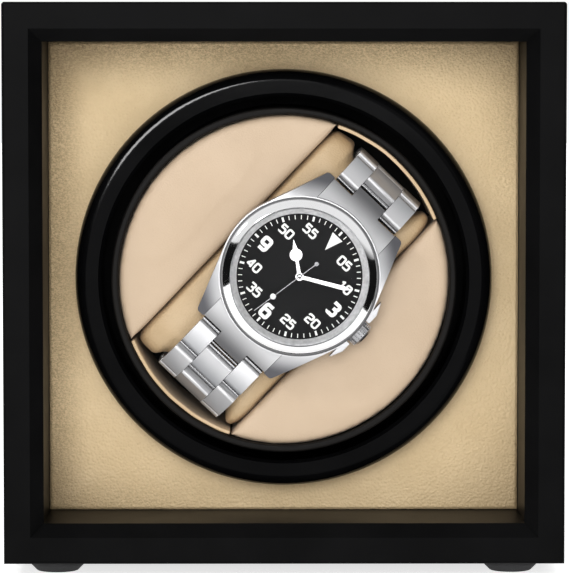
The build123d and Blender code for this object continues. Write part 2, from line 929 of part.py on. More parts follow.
with BuildPart() as rear_panel:
    with BuildSketch(case_plane(rear_back)):
        Rectangle(panel_width, panel_height)
        with Locations((jack_x, jack_z)):
            Circle(jack_radius, mode=Mode.SUBTRACT)
        with Locations((mode_x, mode_z)):
            Circle(mode_hole, mode=Mode.SUBTRACT)
        with Locations((power_x, power_z)):
            Rectangle(power_width, power_height, mode=Mode.SUBTRACT)
    extrude(amount=rear_thickness)
    with BuildSketch(case_plane(rear_front, board_x, board_z)):
        with GridLocations(*board_grid):
            Circle(board_post_radius)
    extrude(amount=board_standoff)
    with Locations(rear_plane(rear_back)):
        with GridLocations(*rear_screw_grid):
            add(rear_screw_blank, mode=Mode.SUBTRACT)
    with Locations(case_plane(board_front, board_x, board_z)):
        with GridLocations(*board_grid):
            add(board_screw_blank, mode=Mode.SUBTRACT)
save(rear_panel, "rear_panel")

with BuildPart() as rear_panel_screws:
    with Locations(rear_plane(rear_back)):
        with GridLocations(*rear_screw_grid):
            add(socketed(rear_screw_blank, 0))
save(rear_panel_screws, "rear_panel_screws")

# Every machine screw inside: plate to standoffs, bearing, motor and circuit board.
with BuildPart() as machine_screws:
    with Locations(rear_plane(plate_back)):
        with GridLocations(*standoff_grid):
            add(socketed(plate_screw_blank, machine_screw_head_height))
    with Locations(rear_plane(plate_back + bearing_flange_thickness)):
        with PolarLocations(bearing_screw_circle, 4, start_angle=45):
            add(socketed(bearing_screw_blank, machine_screw_head_height))
    with Locations(motor_seat):
        with GridLocations(*ear_grid):
            add(socketed(motor_screw_blank, machine_screw_head_height))
    with Locations(case_plane(board_front, board_x, board_z)):
        with GridLocations(*board_grid):
            add(socketed(board_screw_blank, machine_screw_head_height))
save(machine_screws, "machine_screws")

# The supply socket: a flanged barrel with a centre pin.
jack_back = rear_back + jack_flange_thickness
jack_floor = jack_back - jack_bore_depth
with BuildPart() as supply_socket:
    with BuildSketch(case_plane(jack_back, jack_x, jack_z)):
        Circle(jack_flange)
    extrude(amount=jack_flange_thickness)
    with BuildSketch(case_plane(jack_back, jack_x, jack_z)):
        Circle(jack_radius)
    extrude(amount=jack_length)
    with BuildSketch(case_plane(jack_back, jack_x, jack_z)):
        Circle(jack_bore)
    extrude(amount=jack_bore_depth, mode=Mode.SUBTRACT)
    with BuildSketch(case_plane(jack_floor, jack_x, jack_z)):
        Circle(jack_root_radius)
    extrude(amount=jack_pin_root, mode=Mode.SUBTRACT)
    chamfer(supply_socket.edges().filter_by(GeomType.CIRCLE).group_by(Axis.Y)[-1], jack_chamfer)
save(supply_socket, "supply_socket")

with BuildPart() as socket_pin:
    with BuildSketch(case_plane(jack_back - jack_pin_setback, jack_x, jack_z)):
        Circle(jack_pin_radius)
    extrude(amount=jack_bore_depth - jack_pin_setback)
    with BuildSketch(case_plane(jack_floor, jack_x, jack_z)):
        Circle(jack_root_radius)
    extrude(amount=jack_pin_root)
save(socket_pin, "socket_pin")

# The mode switch and its knob with a moulded spindle.
bush_back = rear_back + mode_bush_length
with BuildPart() as mode_switch:
    with BuildSketch(case_plane(rear_front, mode_x, mode_z)):
        Rectangle(mode_body, mode_body)
    extrude(amount=mode_body_depth)
    with BuildSketch(case_plane(bush_back, mode_x, mode_z)):
        Circle(mode_bush_radius)
    extrude(amount=bush_back - rear_front)
    with BuildSketch(case_plane(bush_back, mode_x, mode_z)):
        Circle(mode_shaft_radius + shaft_fit)
    extrude(amount=mode_shaft_length, mode=Mode.SUBTRACT)
save(mode_switch, "mode_switch")

knob_front = bush_back + knob_gap
with BuildPart() as mode_knob:
    with BuildSketch(case_plane(knob_front + knob_height, mode_x, mode_z)):
        Circle(knob_radius)
        with PolarLocations(knob_radius, knob_flutes):
            Circle(knob_radius / knob_flutes, mode=Mode.SUBTRACT)
    extrude(amount=knob_height)
    chamfer(mode_knob.faces().sort_by(Axis.Y)[-1].edges(), drum_round)
    with BuildSketch(case_plane(knob_front, mode_x, mode_z)):
        Circle(mode_shaft_radius)
    extrude(amount=knob_gap + mode_shaft_length - running_gap)
    with BuildSketch(case_plane(knob_front + knob_height, mode_x, mode_z)):
        with Locations((0, knob_radius / 2)):
            SlotOverall(knob_pointer_length, knob_pointer_width, rotation=90)
    extrude(amount=knob_pointer_depth, mode=Mode.SUBTRACT)
save(mode_knob, "mode_knob")

# The power switch: a hollow housing with a cross bar that the rocker turns on.
power_back = rear_back + power_flange_thickness
pivot_depth = power_back - rocker_rise
pocket_width = rocker_width + 2 * rocker_gap
pocket_height = 2 * (rocker_radius + rocker_gap)
pivot_plane = Plane(
    origin=(power_x, front_y + pivot_depth, axis_z + power_z), x_dir=(0, 0, 1), z_dir=(1, 0, 0)
)

with BuildPart() as power_switch:
    with BuildSketch(case_plane(power_back, power_x, power_z)):
        Rectangle(power_width + 2 * power_flange, power_height + 2 * power_flange)
    extrude(amount=power_flange_thickness)
    with BuildSketch(case_plane(rear_back, power_x, power_z)):
        Rectangle(power_width, power_height)
    extrude(amount=power_depth)
    with BuildSketch(case_plane(power_back, power_x, power_z)):
        Rectangle(pocket_width, pocket_height)
    extrude(amount=pocket_depth, mode=Mode.SUBTRACT)
    with BuildSketch(pivot_plane):
        Circle(rocker_pivot_radius)
    extrude(amount=pocket_width / 2 + rocker_gap, both=True)
save(power_switch, "power_switch")

# The rocker's top is two slopes that rise from the middle, its ends are round the pivot.
# It is drawn level, with the depth of the case upwards, and then pressed to one side.
level_plane = Plane(origin=pivot_plane.origin, x_dir=(0, 0, 1), z_dir=(-1, 0, 0))
rocker_plane = turned_plane(level_plane, rocker_tilt)
with BuildPart() as power_rocker:
    with BuildSketch(rocker_plane):
        Circle(rocker_radius)
        with BuildLine():
            rise = rocker_rise + rocker_radius * math.tan(math.radians(rocker_tilt))
            Polyline(
                (-rocker_radius, rise),
                (0, rocker_rise),
                (rocker_radius, rise),
                (rocker_radius, -rocker_bottom),
                (-rocker_radius, -rocker_bottom),
                close=True,
            )
        make_face(mode=Mode.INTERSECT)
        Circle(rocker_pivot_radius + shaft_fit, mode=Mode.SUBTRACT)
    extrude(amount=rocker_width / 2, both=True)
save(power_rocker, "power_rocker")

# ---- Circuit board and its parts ------------------------------------------------
motor_plug = (board_x - board_width / 2 + motor_plug_inset, board_z - motor_plug_drop)
supply_plug = (board_x + board_width / 2 - plug_inset, board_z - plug_inset)
mode_plug = (board_x + board_width / 2 - plug_inset, board_z + mode_plug_rise)
plug_front = board_front - plug_depth

with BuildPart() as circuit_board:
    with BuildSketch(case_plane(board_back, board_x, board_z)):
        RectangleRounded(board_width, board_height, board_thickness)
    extrude(amount=board_thickness)
    with Locations(case_plane(board_front, board_x, board_z)):
        with GridLocations(*board_grid):
            add(board_screw_blank, mode=Mode.SUBTRACT)
save(circuit_board, "circuit_board")

with BuildPart() as board_parts:
    with BuildSketch(case_plane(board_front)):
        with Locations(motor_plug, supply_plug, mode_plug):
            Rectangle(plug_width, plug_height)
    extrude(amount=plug_depth)
    with BuildSketch(case_plane(board_front, board_x, board_z)):
        Rectangle(chip_width, chip_height)
        with Locations((0, -row_drop)):
            Rectangle(row_width, row_height)
    extrude(amount=board_thickness)
    with BuildSketch(case_plane(board_front, board_x, board_z)):
        with Locations((-row_drop, capacitor_rise)):
            Circle(capacitor_radius)
    extrude(amount=plug_depth + board_thickness)
save(board_parts, "board_parts")


# ---- Leads: straight runs joined by arcs as large as the runs allow ---------------
def lead(points):
    places = [Vector(x, front_y + depth, axis_z + z) for x, depth, z in points]
    radii = []
    for before, here, after in zip(places, places[1:], places[2:]):
        half_turn = math.radians((here - before).get_angle(after - here) / 2)
        shorter = min((here - before).length, (after - here).length)
        radii.append(lead_bend * shorter / math.tan(half_turn))
    print("lead radii", [round(radius, 1) for radius in radii])
    with BuildPart() as cable:
        with BuildLine() as route:
            FilletPolyline(*places, radius=radii)
        start = Plane(origin=route.line @ 0, z_dir=route.line % 0)
        with BuildSketch(start):
            Circle(lead_radius)
        sweep(path=route.line)
    return cable.part


# The motor's lead runs from the motor's side to its plug, depth by share of the way.
motor_lead_start = (plate_back + motor_back) / 2
motor_lead_run = plug_front - motor_lead_start
with BuildPart() as motor_lead:
    add(
        lead(
            [
                (motor_x - motor_radius, motor_lead_start, motor_z),
                (-46, motor_lead_start, motor_z),
                (-50, motor_lead_start + 0.32 * motor_lead_run, -28),
                (-48, motor_lead_start + 0.56 * motor_lead_run, -10),
                (motor_plug[0], motor_lead_start + 0.7 * motor_lead_run, motor_plug[1]),
                (motor_plug[0], plug_front, motor_plug[1]),
            ]
        )
    )
save(motor_lead, "motor_lead")

# The control leads leave the socket beside its pin, and hang in front of the rear panel.
socket_front = jack_back - jack_length
switch_front = rear_back - power_depth
mode_front = rear_front - mode_body_depth
socket_lead_x = jack_x - lead_offset
lead_room = rear_front - spindle_back
lead_near = rear_front - lead_near_share * lead_room
lead_far = rear_front - lead_far_share * lead_room
with BuildPart() as control_leads:
    add(
        lead(
            [
                (socket_lead_x, socket_front, jack_z),
                (socket_lead_x, lead_near, jack_z),
                (socket_lead_x, lead_far, jack_z + 12),
                (socket_lead_x, lead_near, jack_z + 24),
                (socket_lead_x, switch_front, jack_z + 24),
            ]
        )
    )
    add(
        lead(
            [
                (power_x, switch_front, power_z + 4),
                (power_x, lead_near, power_z + 4),
                (15, lead_far, 0),
                (supply_plug[0], lead_far, supply_plug[1]),
                (supply_plug[0], plug_front, supply_plug[1]),
            ]
        )
    )
    add(
        lead(
            [
                (mode_x, mode_front, mode_z),
                (mode_x, lead_near, mode_z),
                (15, lead_far, 20),
                (mode_plug[0], lead_far, mode_plug[1]),
                (mode_plug[0], plug_front, mode_plug[1]),
            ]
        )
    )
save(control_leads, "control_leads")

# ---- Cushion --------------------------------------------------------------------
with BuildPart() as cushion:
    with BuildSketch(loop_plane(0)):
        with Locations((0, -(cushion_front + cushion_back) / 2)):
            RectangleRounded(
                2 * cushion_half_length, cushion_back - cushion_front, cushion_corner
            )
    extrude(amount=cushion_half_width, both=True)
    flanks = cushion.faces().filter_by(Plane(origin=(0, 0, 0), z_dir=drum_plane(0).x_dir))
    fillet(flanks.edges(), cushion_round)
save(cushion, "cushion")

# ---- Watch case -------------------------------------------------------------------
# The lugs fall away on an arc that leaves the case's flat top where they start.
lug_run = lug_reach - lug_start
lug_fall = case_top - lug_tip_height
lug_arc = (lug_run**2 + lug_fall**2) / (2 * lug_fall)
lug_centre = case_top - lug_arc


# Through the watch's centre: x runs towards 12, y is the height above the watch's back.
side_plane = Plane(origin=watch_base.origin, x_dir=watch_base.y_dir, z_dir=watch_base.x_dir)


def lug_curve(reach):
    # Height of the lugs' top at a distance from the watch's centre.
    return lug_centre + math.sqrt(lug_arc**2 - (reach - lug_start) ** 2)


def side_view(start, reach, bottom, side):
    # The side view of what lies under the lugs' arc, from start to reach.
    top = max(start, lug_start)
    middle = (top + reach) / 2
    with BuildSketch(side_plane) as view:
        with BuildLine():
            ThreePointArc(
                (side * top, lug_curve(top)),
                (side * middle, lug_curve(middle)),
                (side * reach, lug_curve(reach)),
            )
            Polyline(
                (side * reach, lug_curve(reach)),
                (side * reach, bottom),
                (side * start, bottom),
                (side * start, lug_curve(top)),
                (side * top, lug_curve(top)),
            )
        make_face()
    return view.sketch


with BuildPart() as lug_shape:
    add(side_view(0, lug_reach + lug_tip_radius, 0, 1))
    add(side_view(0, lug_reach + lug_tip_radius, 0, -1))
    extrude(amount=lug_width, dir=across, both=True)
    with BuildSketch(watch_plane(0)):
        Circle(case_radius)
    extrude(amount=case_top)

with BuildPart() as watch_case:
    with BuildSketch(watch_plane(case_bottom)):
        Circle(case_radius)
        tip_x = lug_width / 2 - lug_tip_radius
        tip_y = lug_reach - lug_tip_radius
        with Locations((tip_x, tip_y), (-tip_x, tip_y), (tip_x, -tip_y), (-tip_x, -tip_y)):
            Circle(lug_tip_radius)
        make_hull()
        with BuildSketch(mode=Mode.SUBTRACT):
            with Locations((0, lug_reach), (0, -lug_reach)):
                Rectangle(lug_gap, 2 * lug_start)
            Circle(case_radius, mode=Mode.SUBTRACT)
    extrude(amount=case_top - case_bottom)
    add(lug_shape.part, mode=Mode.INTERSECT)
    # Guards on both sides of the crown.
    with BuildSketch(watch_plane(guard_bottom)):
        with BuildLine():
            Polyline(
                (case_radius - lug_tip_radius, crown_notch),
                (guard_reach, crown_notch),
                (guard_reach, guard_far),
                (case_radius - lug_tip_radius, guard_root),
                close=True,
            )
        make_face()
        mirror(about=Plane.XZ)
        Circle(bezel_inner, mode=Mode.SUBTRACT)
    extrude(amount=guard_top - guard_bottom)
    with BuildSketch(watch_plane(case_bottom)):
        with Locations((crown_start - running_gap + case_radius, 0)):
            Rectangle(2 * case_radius, 2 * crown_notch)
    extrude(amount=case_top - case_bottom, mode=Mode.SUBTRACT)
    with BuildSketch(watch_plane(0)):
        Circle(case_back_radius)
    extrude(amount=case_back_height, mode=Mode.SUBTRACT)
    with BuildSketch(watch_plane(0)):
        Circle(movement_radius)
    extrude(amount=case_top, mode=Mode.SUBTRACT)
    with BuildSketch(watch_plane(dial_top - dial_thickness)):
        Circle(dial_radius)
    extrude(amount=case_top, mode=Mode.SUBTRACT)
    with BuildSketch(Plane(origin=watch_plane(crown_height).origin, z_dir=watch_base.x_dir)):
        Circle(stem_radius + shaft_fit)
    extrude(amount=case_radius, mode=Mode.SUBTRACT)
    with BuildSketch(side_plane):
        with Locations((spring_bar_place, spring_bar_height), (-spring_bar_place, spring_bar_height)):
            Circle(spring_bar_radius)
    extrude(amount=lug_gap / 2 + lug_tip_radius, both=True, mode=Mode.SUBTRACT)
save(watch_case, "watch_case")

with BuildPart() as watch_case_back:
    with BuildSketch(watch_plane(0)):
        Circle(case_back_radius)
    extrude(amount=case_back_height)
    fillet(watch_case_back.edges().sort_by(Axis.Y)[-1], case_back_height / 3)
save(watch_case_back, "watch_case_back")

with BuildPart() as watch_bezel:
    with BuildSketch(watch_section):
        with BuildLine():
            bezel_top = case_top + bezel_height
            shoulder = case_top + bezel_foot
            crest = (bezel_inner + bezel_radius) / 2
            bulge = shoulder + (bezel_top - shoulder) * bezel_bulge
            ThreePointArc((bezel_inner, bezel_top), (crest, bulge), (bezel_radius, shoulder))
            Polyline(
                (bezel_radius, shoulder),
                (bezel_radius, case_top),
                (bezel_inner, case_top),
                (bezel_inner, bezel_top),
            )
        make_face()
    revolve(axis=watch_axis)
save(watch_bezel, "watch_bezel")

with BuildPart() as watch_crystal:
    with BuildSketch(watch_plane(crystal_bottom)):
        Circle(bezel_inner - crystal_fit)
    extrude(amount=crystal_top - crystal_bottom)
    chamfer(watch_crystal.edges().sort_by(Axis.Y)[0], crystal_chamfer)
save(watch_crystal, "watch_crystal")

with BuildPart() as watch_inner_ring:
    with BuildSketch(watch_section):
        with BuildLine():
            Polyline(
                (dial_window, dial_top),
                (dial_radius, dial_top),
                (dial_radius, crystal_bottom),
                (dial_radius - crystal_chamfer, crystal_bottom),
                close=True,
            )
        make_face()
    revolve(axis=watch_axis)
save(watch_inner_ring, "watch_inner_ring")

with BuildPart() as watch_dial:
    with BuildSketch(watch_plane(dial_top - dial_thickness)):
        Circle(dial_radius)
        Circle(hand_post, mode=Mode.SUBTRACT)
    extrude(amount=dial_thickness)
save(watch_dial, "watch_dial")

# The movement carries the post that the hands turn on and the rotor's bearing post.
post_top = second_level + hand_thickness + post_rise
with BuildPart() as watch_movement:
    with BuildSketch(watch_plane(movement_bottom)):
        Circle(movement_radius)
    extrude(amount=dial_top - dial_thickness - movement_bottom)
    with BuildSketch(watch_plane(movement_bottom)):
        Circle(hand_post)
    extrude(amount=post_top - movement_bottom)
    with BuildSketch(watch_plane(case_back_height)):
        Circle(rotor_post)
    extrude(amount=movement_bottom - case_back_height)
save(watch_movement, "watch_movement")

# The winding rotor hangs with its heavy half downwards.
with BuildPart() as winding_rotor:
    rotor_bottom = movement_bottom - rotor_gap - rotor_thickness
    with BuildSketch(hand_plane(rotor_bottom, 90 + slot_angle)):
        Circle(rotor_radius)
        with Locations((0, -rotor_radius / 2)):
            Rectangle(2 * rotor_radius, rotor_radius, mode=Mode.SUBTRACT)
        Circle(3 * rotor_post)
        Circle(rotor_post + shaft_fit, mode=Mode.SUBTRACT)
    extrude(amount=rotor_thickness)
save(winding_rotor, "winding_rotor")

# ---- Crown --------------------------------------------------------------------------
crown_origin = watch_plane(crown_height).origin


def crown_plane(reach):
    # Square to the stem, this far from the watch's centre, facing outwards.
    return Plane(
        origin=crown_origin + watch_base.x_dir * reach,
        x_dir=watch_base.y_dir,
        z_dir=watch_base.x_dir,
    )


with BuildPart() as watch_crown_stem:
    with BuildSketch(crown_plane(stem_inner)):
        Circle(stem_radius)
    extrude(amount=crown_start + crown_bore_depth - stem_inner)
save(watch_crown_stem, "watch_crown_stem")

with BuildPart() as watch_crown:
    with BuildSketch(crown_plane(crown_start)):
        Circle(crown_radius)
        with PolarLocations(crown_radius, crown_flutes):
            Circle(crown_flute_radius, mode=Mode.SUBTRACT)
    extrude(amount=crown_length - crown_dome)
    with BuildSketch(crown_plane(crown_start + crown_length - crown_dome)):
        Circle(crown_radius - crown_flute_radius)
    extrude(amount=crown_dome, taper=45)
    with BuildSketch(crown_plane(crown_start)):
        Circle(stem_radius + shaft_fit)
    extrude(amount=crown_bore_depth + running_gap, mode=Mode.SUBTRACT)
save(watch_crown, "watch_crown")


# ---- Hands ----------------------------------------------------------------------------
def hand(level, clock_angle, outline, discs, name):
    with BuildPart() as piece:
        with BuildSketch(hand_plane(level, clock_angle)):
            with BuildLine():
                Polyline(*outline, close=True)
            make_face()
            for place, radius in discs:
                with Locations((0, place)):
                    Circle(radius)
            Circle(hand_post + hand_fit, mode=Mode.SUBTRACT)
        extrude(amount=hand_thickness)
    save(piece, name)


hand(
    hour_level,
    hour_angle,
    hour_outline,
    hour_discs,
    "watch_hour_hand",
)
hand(
    minute_level,
    minute_angle,
    minute_outline,
    minute_discs,
    "watch_minute_hand",
)
hand(
    second_level,
    second_angle,
    second_outline,
    second_discs,
    "watch_second_hand",
)

# ---- Bracelet: a loop of links round the cushion ------------------------------------------
loop_offset = strap_gap + link_thickness / 2
loop_radius = cushion_corner + loop_offset
loop_front = -cushion_front + loop_offset
loop_flat = cushion_half_length - cushion_corner
loop_side = cushion_back - cushion_front - 2 * cushion_corner
quarter = math.pi / 2 * loop_radius
loop_runs = [
    (loop_flat, 0),
    (quarter, loop_radius),
    (loop_side, 0),
    (quarter, loop_radius),
    (2 * loop_flat, 0),
    (quarter, loop_radius),
    (loop_side, 0),
    (quarter, loop_radius),
    (loop_flat, 0),
]
loop_length = sum(length for length, radius in loop_runs)


def loop_point(distance):
    # A point of the bracelet's centre line, measured from the middle of the cushion's front.
    left = distance % loop_length
    x, y, heading = 0.0, loop_front, 0.0
    for length, radius in loop_runs:
        step = min(left, length)
        left -= step
        if radius == 0:
            x += step * math.cos(heading)
            y += step * math.sin(heading)
            continue
        turn = step / radius
        x += radius * (math.sin(heading) - math.sin(heading - turn))
        y += radius * (math.cos(heading - turn) - math.cos(heading))
        heading -= turn
    return (x, y)


def odd_count(run):
    # The most spans, an odd number, that fit into a run of the loop.
    return 2 * int((run / link_pitch - 1) / 2) + 1


# Pins count from the watch on each side; the clasp takes the stretch between the last two.
upper_start = watch_along + first_pin
lower_start = loop_length + watch_along - first_pin
upper_spans = odd_count(loop_length / 2 - clasp_length / 2 - upper_start)
lower_spans = odd_count(lower_start - loop_length / 2 - clasp_length / 2)
upper_pins = [loop_point(upper_start + link_pitch * step) for step in range(upper_spans + 1)]
lower_pins = [loop_point(lower_start - link_pitch * step) for step in range(lower_spans + 1)]
upper_pairs = list(zip(upper_pins, upper_pins[1:]))
lower_pairs = list(zip(lower_pins, lower_pins[1:]))
outer_width = bracelet_width / 2 - centre_width / 2 - side_gap
outer_inner = centre_width / 2 + side_gap


def link_plane(here, there, offset):
    # Stands on one pin, x towards the next, seen from the 3 o'clock side.
    loop = loop_plane(watch_across + offset)
    start = loop.from_local_coords((here[0], here[1], 0))
    end = loop.from_local_coords((there[0], there[1], 0))
    return Plane(origin=start, x_dir=end - start, z_dir=loop.z_dir)


def link_view(here, there, offset, reach_back, reach_on):
    # One link's side view with its two pin holes.
    span = math.dist(here, there)
    with BuildSketch(link_plane(here, there, offset)) as view:
        with Locations(((span + reach_on - reach_back) / 2, 0)):
            RectangleRounded(span + reach_on + reach_back, link_thickness, link_round)
        with Locations((0, 0), (span, 0)):
            Circle(pin_radius + pin_fit, mode=Mode.SUBTRACT)
    return view.sketch


with BuildPart() as bracelet_outer_links:
    for here, there in upper_pairs[0::2] + lower_pairs[0::2]:
        for offset in (outer_inner, -bracelet_width / 2):
            add(link_view(here, there, offset, outer_reach_back, outer_reach_on))
    extrude(amount=outer_width, dir=across)
save(bracelet_outer_links, "bracelet_outer_links")

with BuildPart() as bracelet_centre_links:
    for here, there in upper_pairs[1::2] + lower_pairs[1::2]:
        add(link_view(here, there, -centre_width / 2, centre_reach_back, centre_reach_on))
    extrude(amount=centre_width, dir=across)
save(bracelet_centre_links, "bracelet_centre_links")

# The end links fill the space between the lugs and reach out to the first pin.
end_bottom = link_round / 2


def end_link(side, pin):
    pin_reach = pin[0] - watch_along
    pin_height = pin[1] + cushion_front - seat_gap
    tip = side * pin_reach + centre_reach_on
    with BuildPart() as piece:
        add(side_view(0, tip, end_bottom, side))
        extrude(amount=lug_gap, dir=across, both=True)
        with BuildSketch(watch_plane(0)):
            with Locations((0, side * end_link_reach / 2)):
                Rectangle(lug_gap - 2 * side_gap, end_link_reach)
            with Locations((0, side * tip / 2)):
                Rectangle(centre_width, tip)
            Circle(case_radius + side_gap, mode=Mode.SUBTRACT)
        extrude(amount=case_top, mode=Mode.INTERSECT)
        with BuildSketch(side_plane):
            with Locations((pin_reach, pin_height)):
                Circle(pin_radius + pin_fit)
            with Locations((side * spring_bar_place, spring_bar_height)):
                Circle(spring_bar_radius)
        extrude(amount=lug_gap, both=True, mode=Mode.SUBTRACT)
    return piece.part


with BuildPart() as watch_end_links:
    add(end_link(1, upper_pins[0]))
    add(end_link(-1, lower_pins[0]))
save(watch_end_links, "watch_end_links")

# Every pin of the bracelet, and the two spring bars in the lugs.
with BuildPart() as bracelet_pins:
    with BuildSketch(loop_plane(watch_across)):
        with Locations(*upper_pins, *lower_pins):
            Circle(pin_radius)
    extrude(amount=bracelet_width / 2 - side_gap, both=True)
    with BuildSketch(side_plane):
        with Locations((spring_bar_place, spring_bar_height), (-spring_bar_place, spring_bar_height)):
            Circle(spring_bar_radius)
    extrude(amount=lug_gap / 2 + lug_tip_radius, both=True)
save(bracelet_pins, "bracelet_pins")

# The clasp: a cover like a shallow channel over two folded blades.
clasp_start = upper_pins[-1]
clasp_end = lower_pins[-1]
clasp_span = math.dist(clasp_start, clasp_end)
cover_length = clasp_span - 2 * outer_reach_on - 2 * side_gap


def clasp_plane(offset):
    return link_plane(clasp_start, clasp_end, offset)


with BuildPart() as clasp_cover:
    with BuildSketch(clasp_plane(-bracelet_width / 2)):
        with Locations((clasp_span / 2, 0)):
            RectangleRounded(cover_length, link_thickness, link_round)
    extrude(amount=bracelet_width)
    with BuildSketch(clasp_plane(clasp_side - bracelet_width / 2)):
        with Locations((clasp_span / 2, blade_thickness / 2 - link_thickness)):
            Rectangle(2 * cover_length, 2 * link_thickness)
    extrude(amount=bracelet_width - 2 * clasp_side, mode=Mode.SUBTRACT)
save(clasp_cover, "clasp_cover")

with BuildPart() as clasp_blades:
    with BuildSketch(clasp_plane(-centre_width / 2)):
        with Locations((clasp_span / 2, 0)):
            Rectangle(clasp_span, blade_thickness)
        with Locations((0, 0), (clasp_span, 0)):
            Circle(blade_thickness)
            Circle(pin_radius + pin_fit, mode=Mode.SUBTRACT)
    extrude(amount=centre_width)
    with BuildSketch(clasp_plane(-centre_width / 2)):
        with Locations((clasp_span / 2, -blade_thickness)):
            Rectangle(cover_length - 2 * link_thickness, blade_thickness)
    extrude(amount=centre_width)
save(clasp_blades, "clasp_blades")
print("bracelet spans", upper_spans, lower_spans, "clasp", round(clasp_span, 1))
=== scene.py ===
import bmesh
import bpy
import json
import math
from mathutils import Matrix, Vector, noise


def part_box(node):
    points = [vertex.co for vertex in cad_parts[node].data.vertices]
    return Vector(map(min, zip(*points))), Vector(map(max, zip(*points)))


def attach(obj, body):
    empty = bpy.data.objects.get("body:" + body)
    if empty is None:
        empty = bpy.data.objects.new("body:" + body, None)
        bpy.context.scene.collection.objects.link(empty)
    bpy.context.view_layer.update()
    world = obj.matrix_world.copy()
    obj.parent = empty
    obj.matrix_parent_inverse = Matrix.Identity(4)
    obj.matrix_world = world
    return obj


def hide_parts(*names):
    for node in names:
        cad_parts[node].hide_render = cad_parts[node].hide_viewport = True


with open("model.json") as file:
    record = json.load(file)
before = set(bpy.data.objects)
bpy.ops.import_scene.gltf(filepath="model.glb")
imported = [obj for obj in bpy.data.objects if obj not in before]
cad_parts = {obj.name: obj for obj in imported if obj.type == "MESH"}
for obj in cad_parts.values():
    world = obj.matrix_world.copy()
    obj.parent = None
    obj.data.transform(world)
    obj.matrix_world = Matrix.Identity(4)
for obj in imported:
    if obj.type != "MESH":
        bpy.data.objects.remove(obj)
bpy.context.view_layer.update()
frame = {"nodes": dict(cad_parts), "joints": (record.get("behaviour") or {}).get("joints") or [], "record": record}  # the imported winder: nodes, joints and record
nodes = frame["nodes"]
joints = {joint["name"]: joint for joint in frame["joints"]}
mm = 0.001

# Drawings are made flat: x and y in the drawing, z towards the viewer, then put in place.
outward = Vector((0, -1, 0))
acrossSlot = Vector(joints["crown_pull"]["axis"]).normalized()  # towards the crown
alongSlot = outward.cross(acrossSlot)  # towards twelve o'clock
drumAxis = Vector(joints["drum_spin"]["pos_m"])
watchAxis = Vector(joints["minute_hand_spin"]["pos_m"])


def drawingPlace(centre, right, up):
    place = Matrix((right, up, outward)).transposed().to_4x4()
    place.translation = (centre.x, 0, centre.z)
    return place


casePlace = drawingPlace(drumAxis, Vector((1, 0, 0)), Vector((0, 0, 1)))
slotPlace = drawingPlace(drumAxis, acrossSlot, alongSlot)
watchPlace = drawingPlace(watchAxis, acrossSlot, alongSlot)


def cornersOf(node, place):  # every corner of a CAD node, as its drawing sees it
    back = place.inverted()
    return [back @ vertex.co for vertex in nodes[node].data.vertices]


def topOf(node):
    return -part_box(node)[0].y


def bottomOf(node):
    return -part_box(node)[1].y


def radiusOf(point):
    return math.hypot(point.x, point.y)


def smoothStep(value, start, end):
    t = min(max((value - start) / (end - start), 0), 1)
    return t * t * (3 - 2 * t)


# modelling helpers
def showOnly(piece):
    bpy.ops.object.select_all(action="DESELECT")
    piece.select_set(True)
    bpy.context.view_layer.objects.active = piece


def startEdit(piece):
    showOnly(piece)
    bpy.ops.object.mode_set(mode="EDIT")


def endEdit():
    bpy.ops.object.mode_set(mode="OBJECT")


def pick(piece, kind, test):  # selects what passes the test, in edit mode
    mesh = bmesh.from_edit_mesh(piece.data)
    kinds = ("verts", "edges", "faces")
    bpy.context.tool_settings.mesh_select_mode = [each == kind for each in kinds]
    for part in list(mesh.verts) + list(mesh.edges) + list(mesh.faces):
        part.select = False
    for part in getattr(mesh, kind):
        if test(part):
            part.select_set(True)
    bmesh.update_edit_mesh(piece.data)


def newPiece(name):
    piece = bpy.context.active_object
    piece.name = name
    piece.data.name = name
    showOnly(piece)
    return piece


def copyOfNode(node, name, place):  # its own mesh, merged, in the drawing's coordinates
    piece = bpy.data.objects.new(name, nodes[node].data.copy())
    bpy.context.collection.objects.link(piece)
    piece.data.name = name
    piece.data.transform(place.inverted())
    mergeAll(piece)
    return piece


def mergeAll(piece):
    startEdit(piece)
    bpy.ops.mesh.select_all(action="SELECT")
    bpy.ops.mesh.remove_doubles(threshold=0.000001)
    bpy.ops.mesh.normals_make_consistent(inside=False)
    endEdit()


def addModifier(piece, kind, **values):
    showOnly(piece)
    modifier = piece.modifiers.new(kind.lower(), kind)
    for key, value in values.items():
        setattr(modifier, key, value)
    bpy.ops.object.modifier_apply(modifier=modifier.name)


def subdivide(piece, levels):
    addModifier(piece, "SUBSURF", levels=levels, render_levels=levels)


def joinAll(pieces, name):
    bpy.ops.object.select_all(action="DESELECT")
    for piece in pieces:
        piece.select_set(True)
    bpy.context.view_layer.objects.active = pieces[0]
    bpy.ops.object.join()
    return newPiece(name)


def putInPlace(piece, place, body, slotName, degrees=30):
    showOnly(piece)
    bpy.ops.object.transform_apply(location=True, rotation=True, scale=True)
    piece.data.transform(place)
    bpy.ops.object.shade_smooth_by_angle(angle=math.radians(degrees))
    piece.data.materials.clear()
    piece.data.materials.append(materials[slotName])
    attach(piece, body)


# materials
def feed(tree, socket, value):  # from another node's socket, or a plain value
    if isinstance(value, bpy.types.NodeSocket):
        tree.links.new(value, socket)
    else:
        socket.default_value = value


def addNode(tree, kind, **values):
    node = tree.nodes.new(kind)
    for key, value in values.items():
        if key in node.inputs:
            feed(tree, node.inputs[key], value)
        else:
            setattr(node, key, value)
    return node


def mathNode(tree, operation, first, second=0.0):
    node = addNode(tree, "ShaderNodeMath", operation=operation)
    feed(tree, node.inputs[0], first)
    feed(tree, node.inputs[1], second)
    return node.outputs[0]


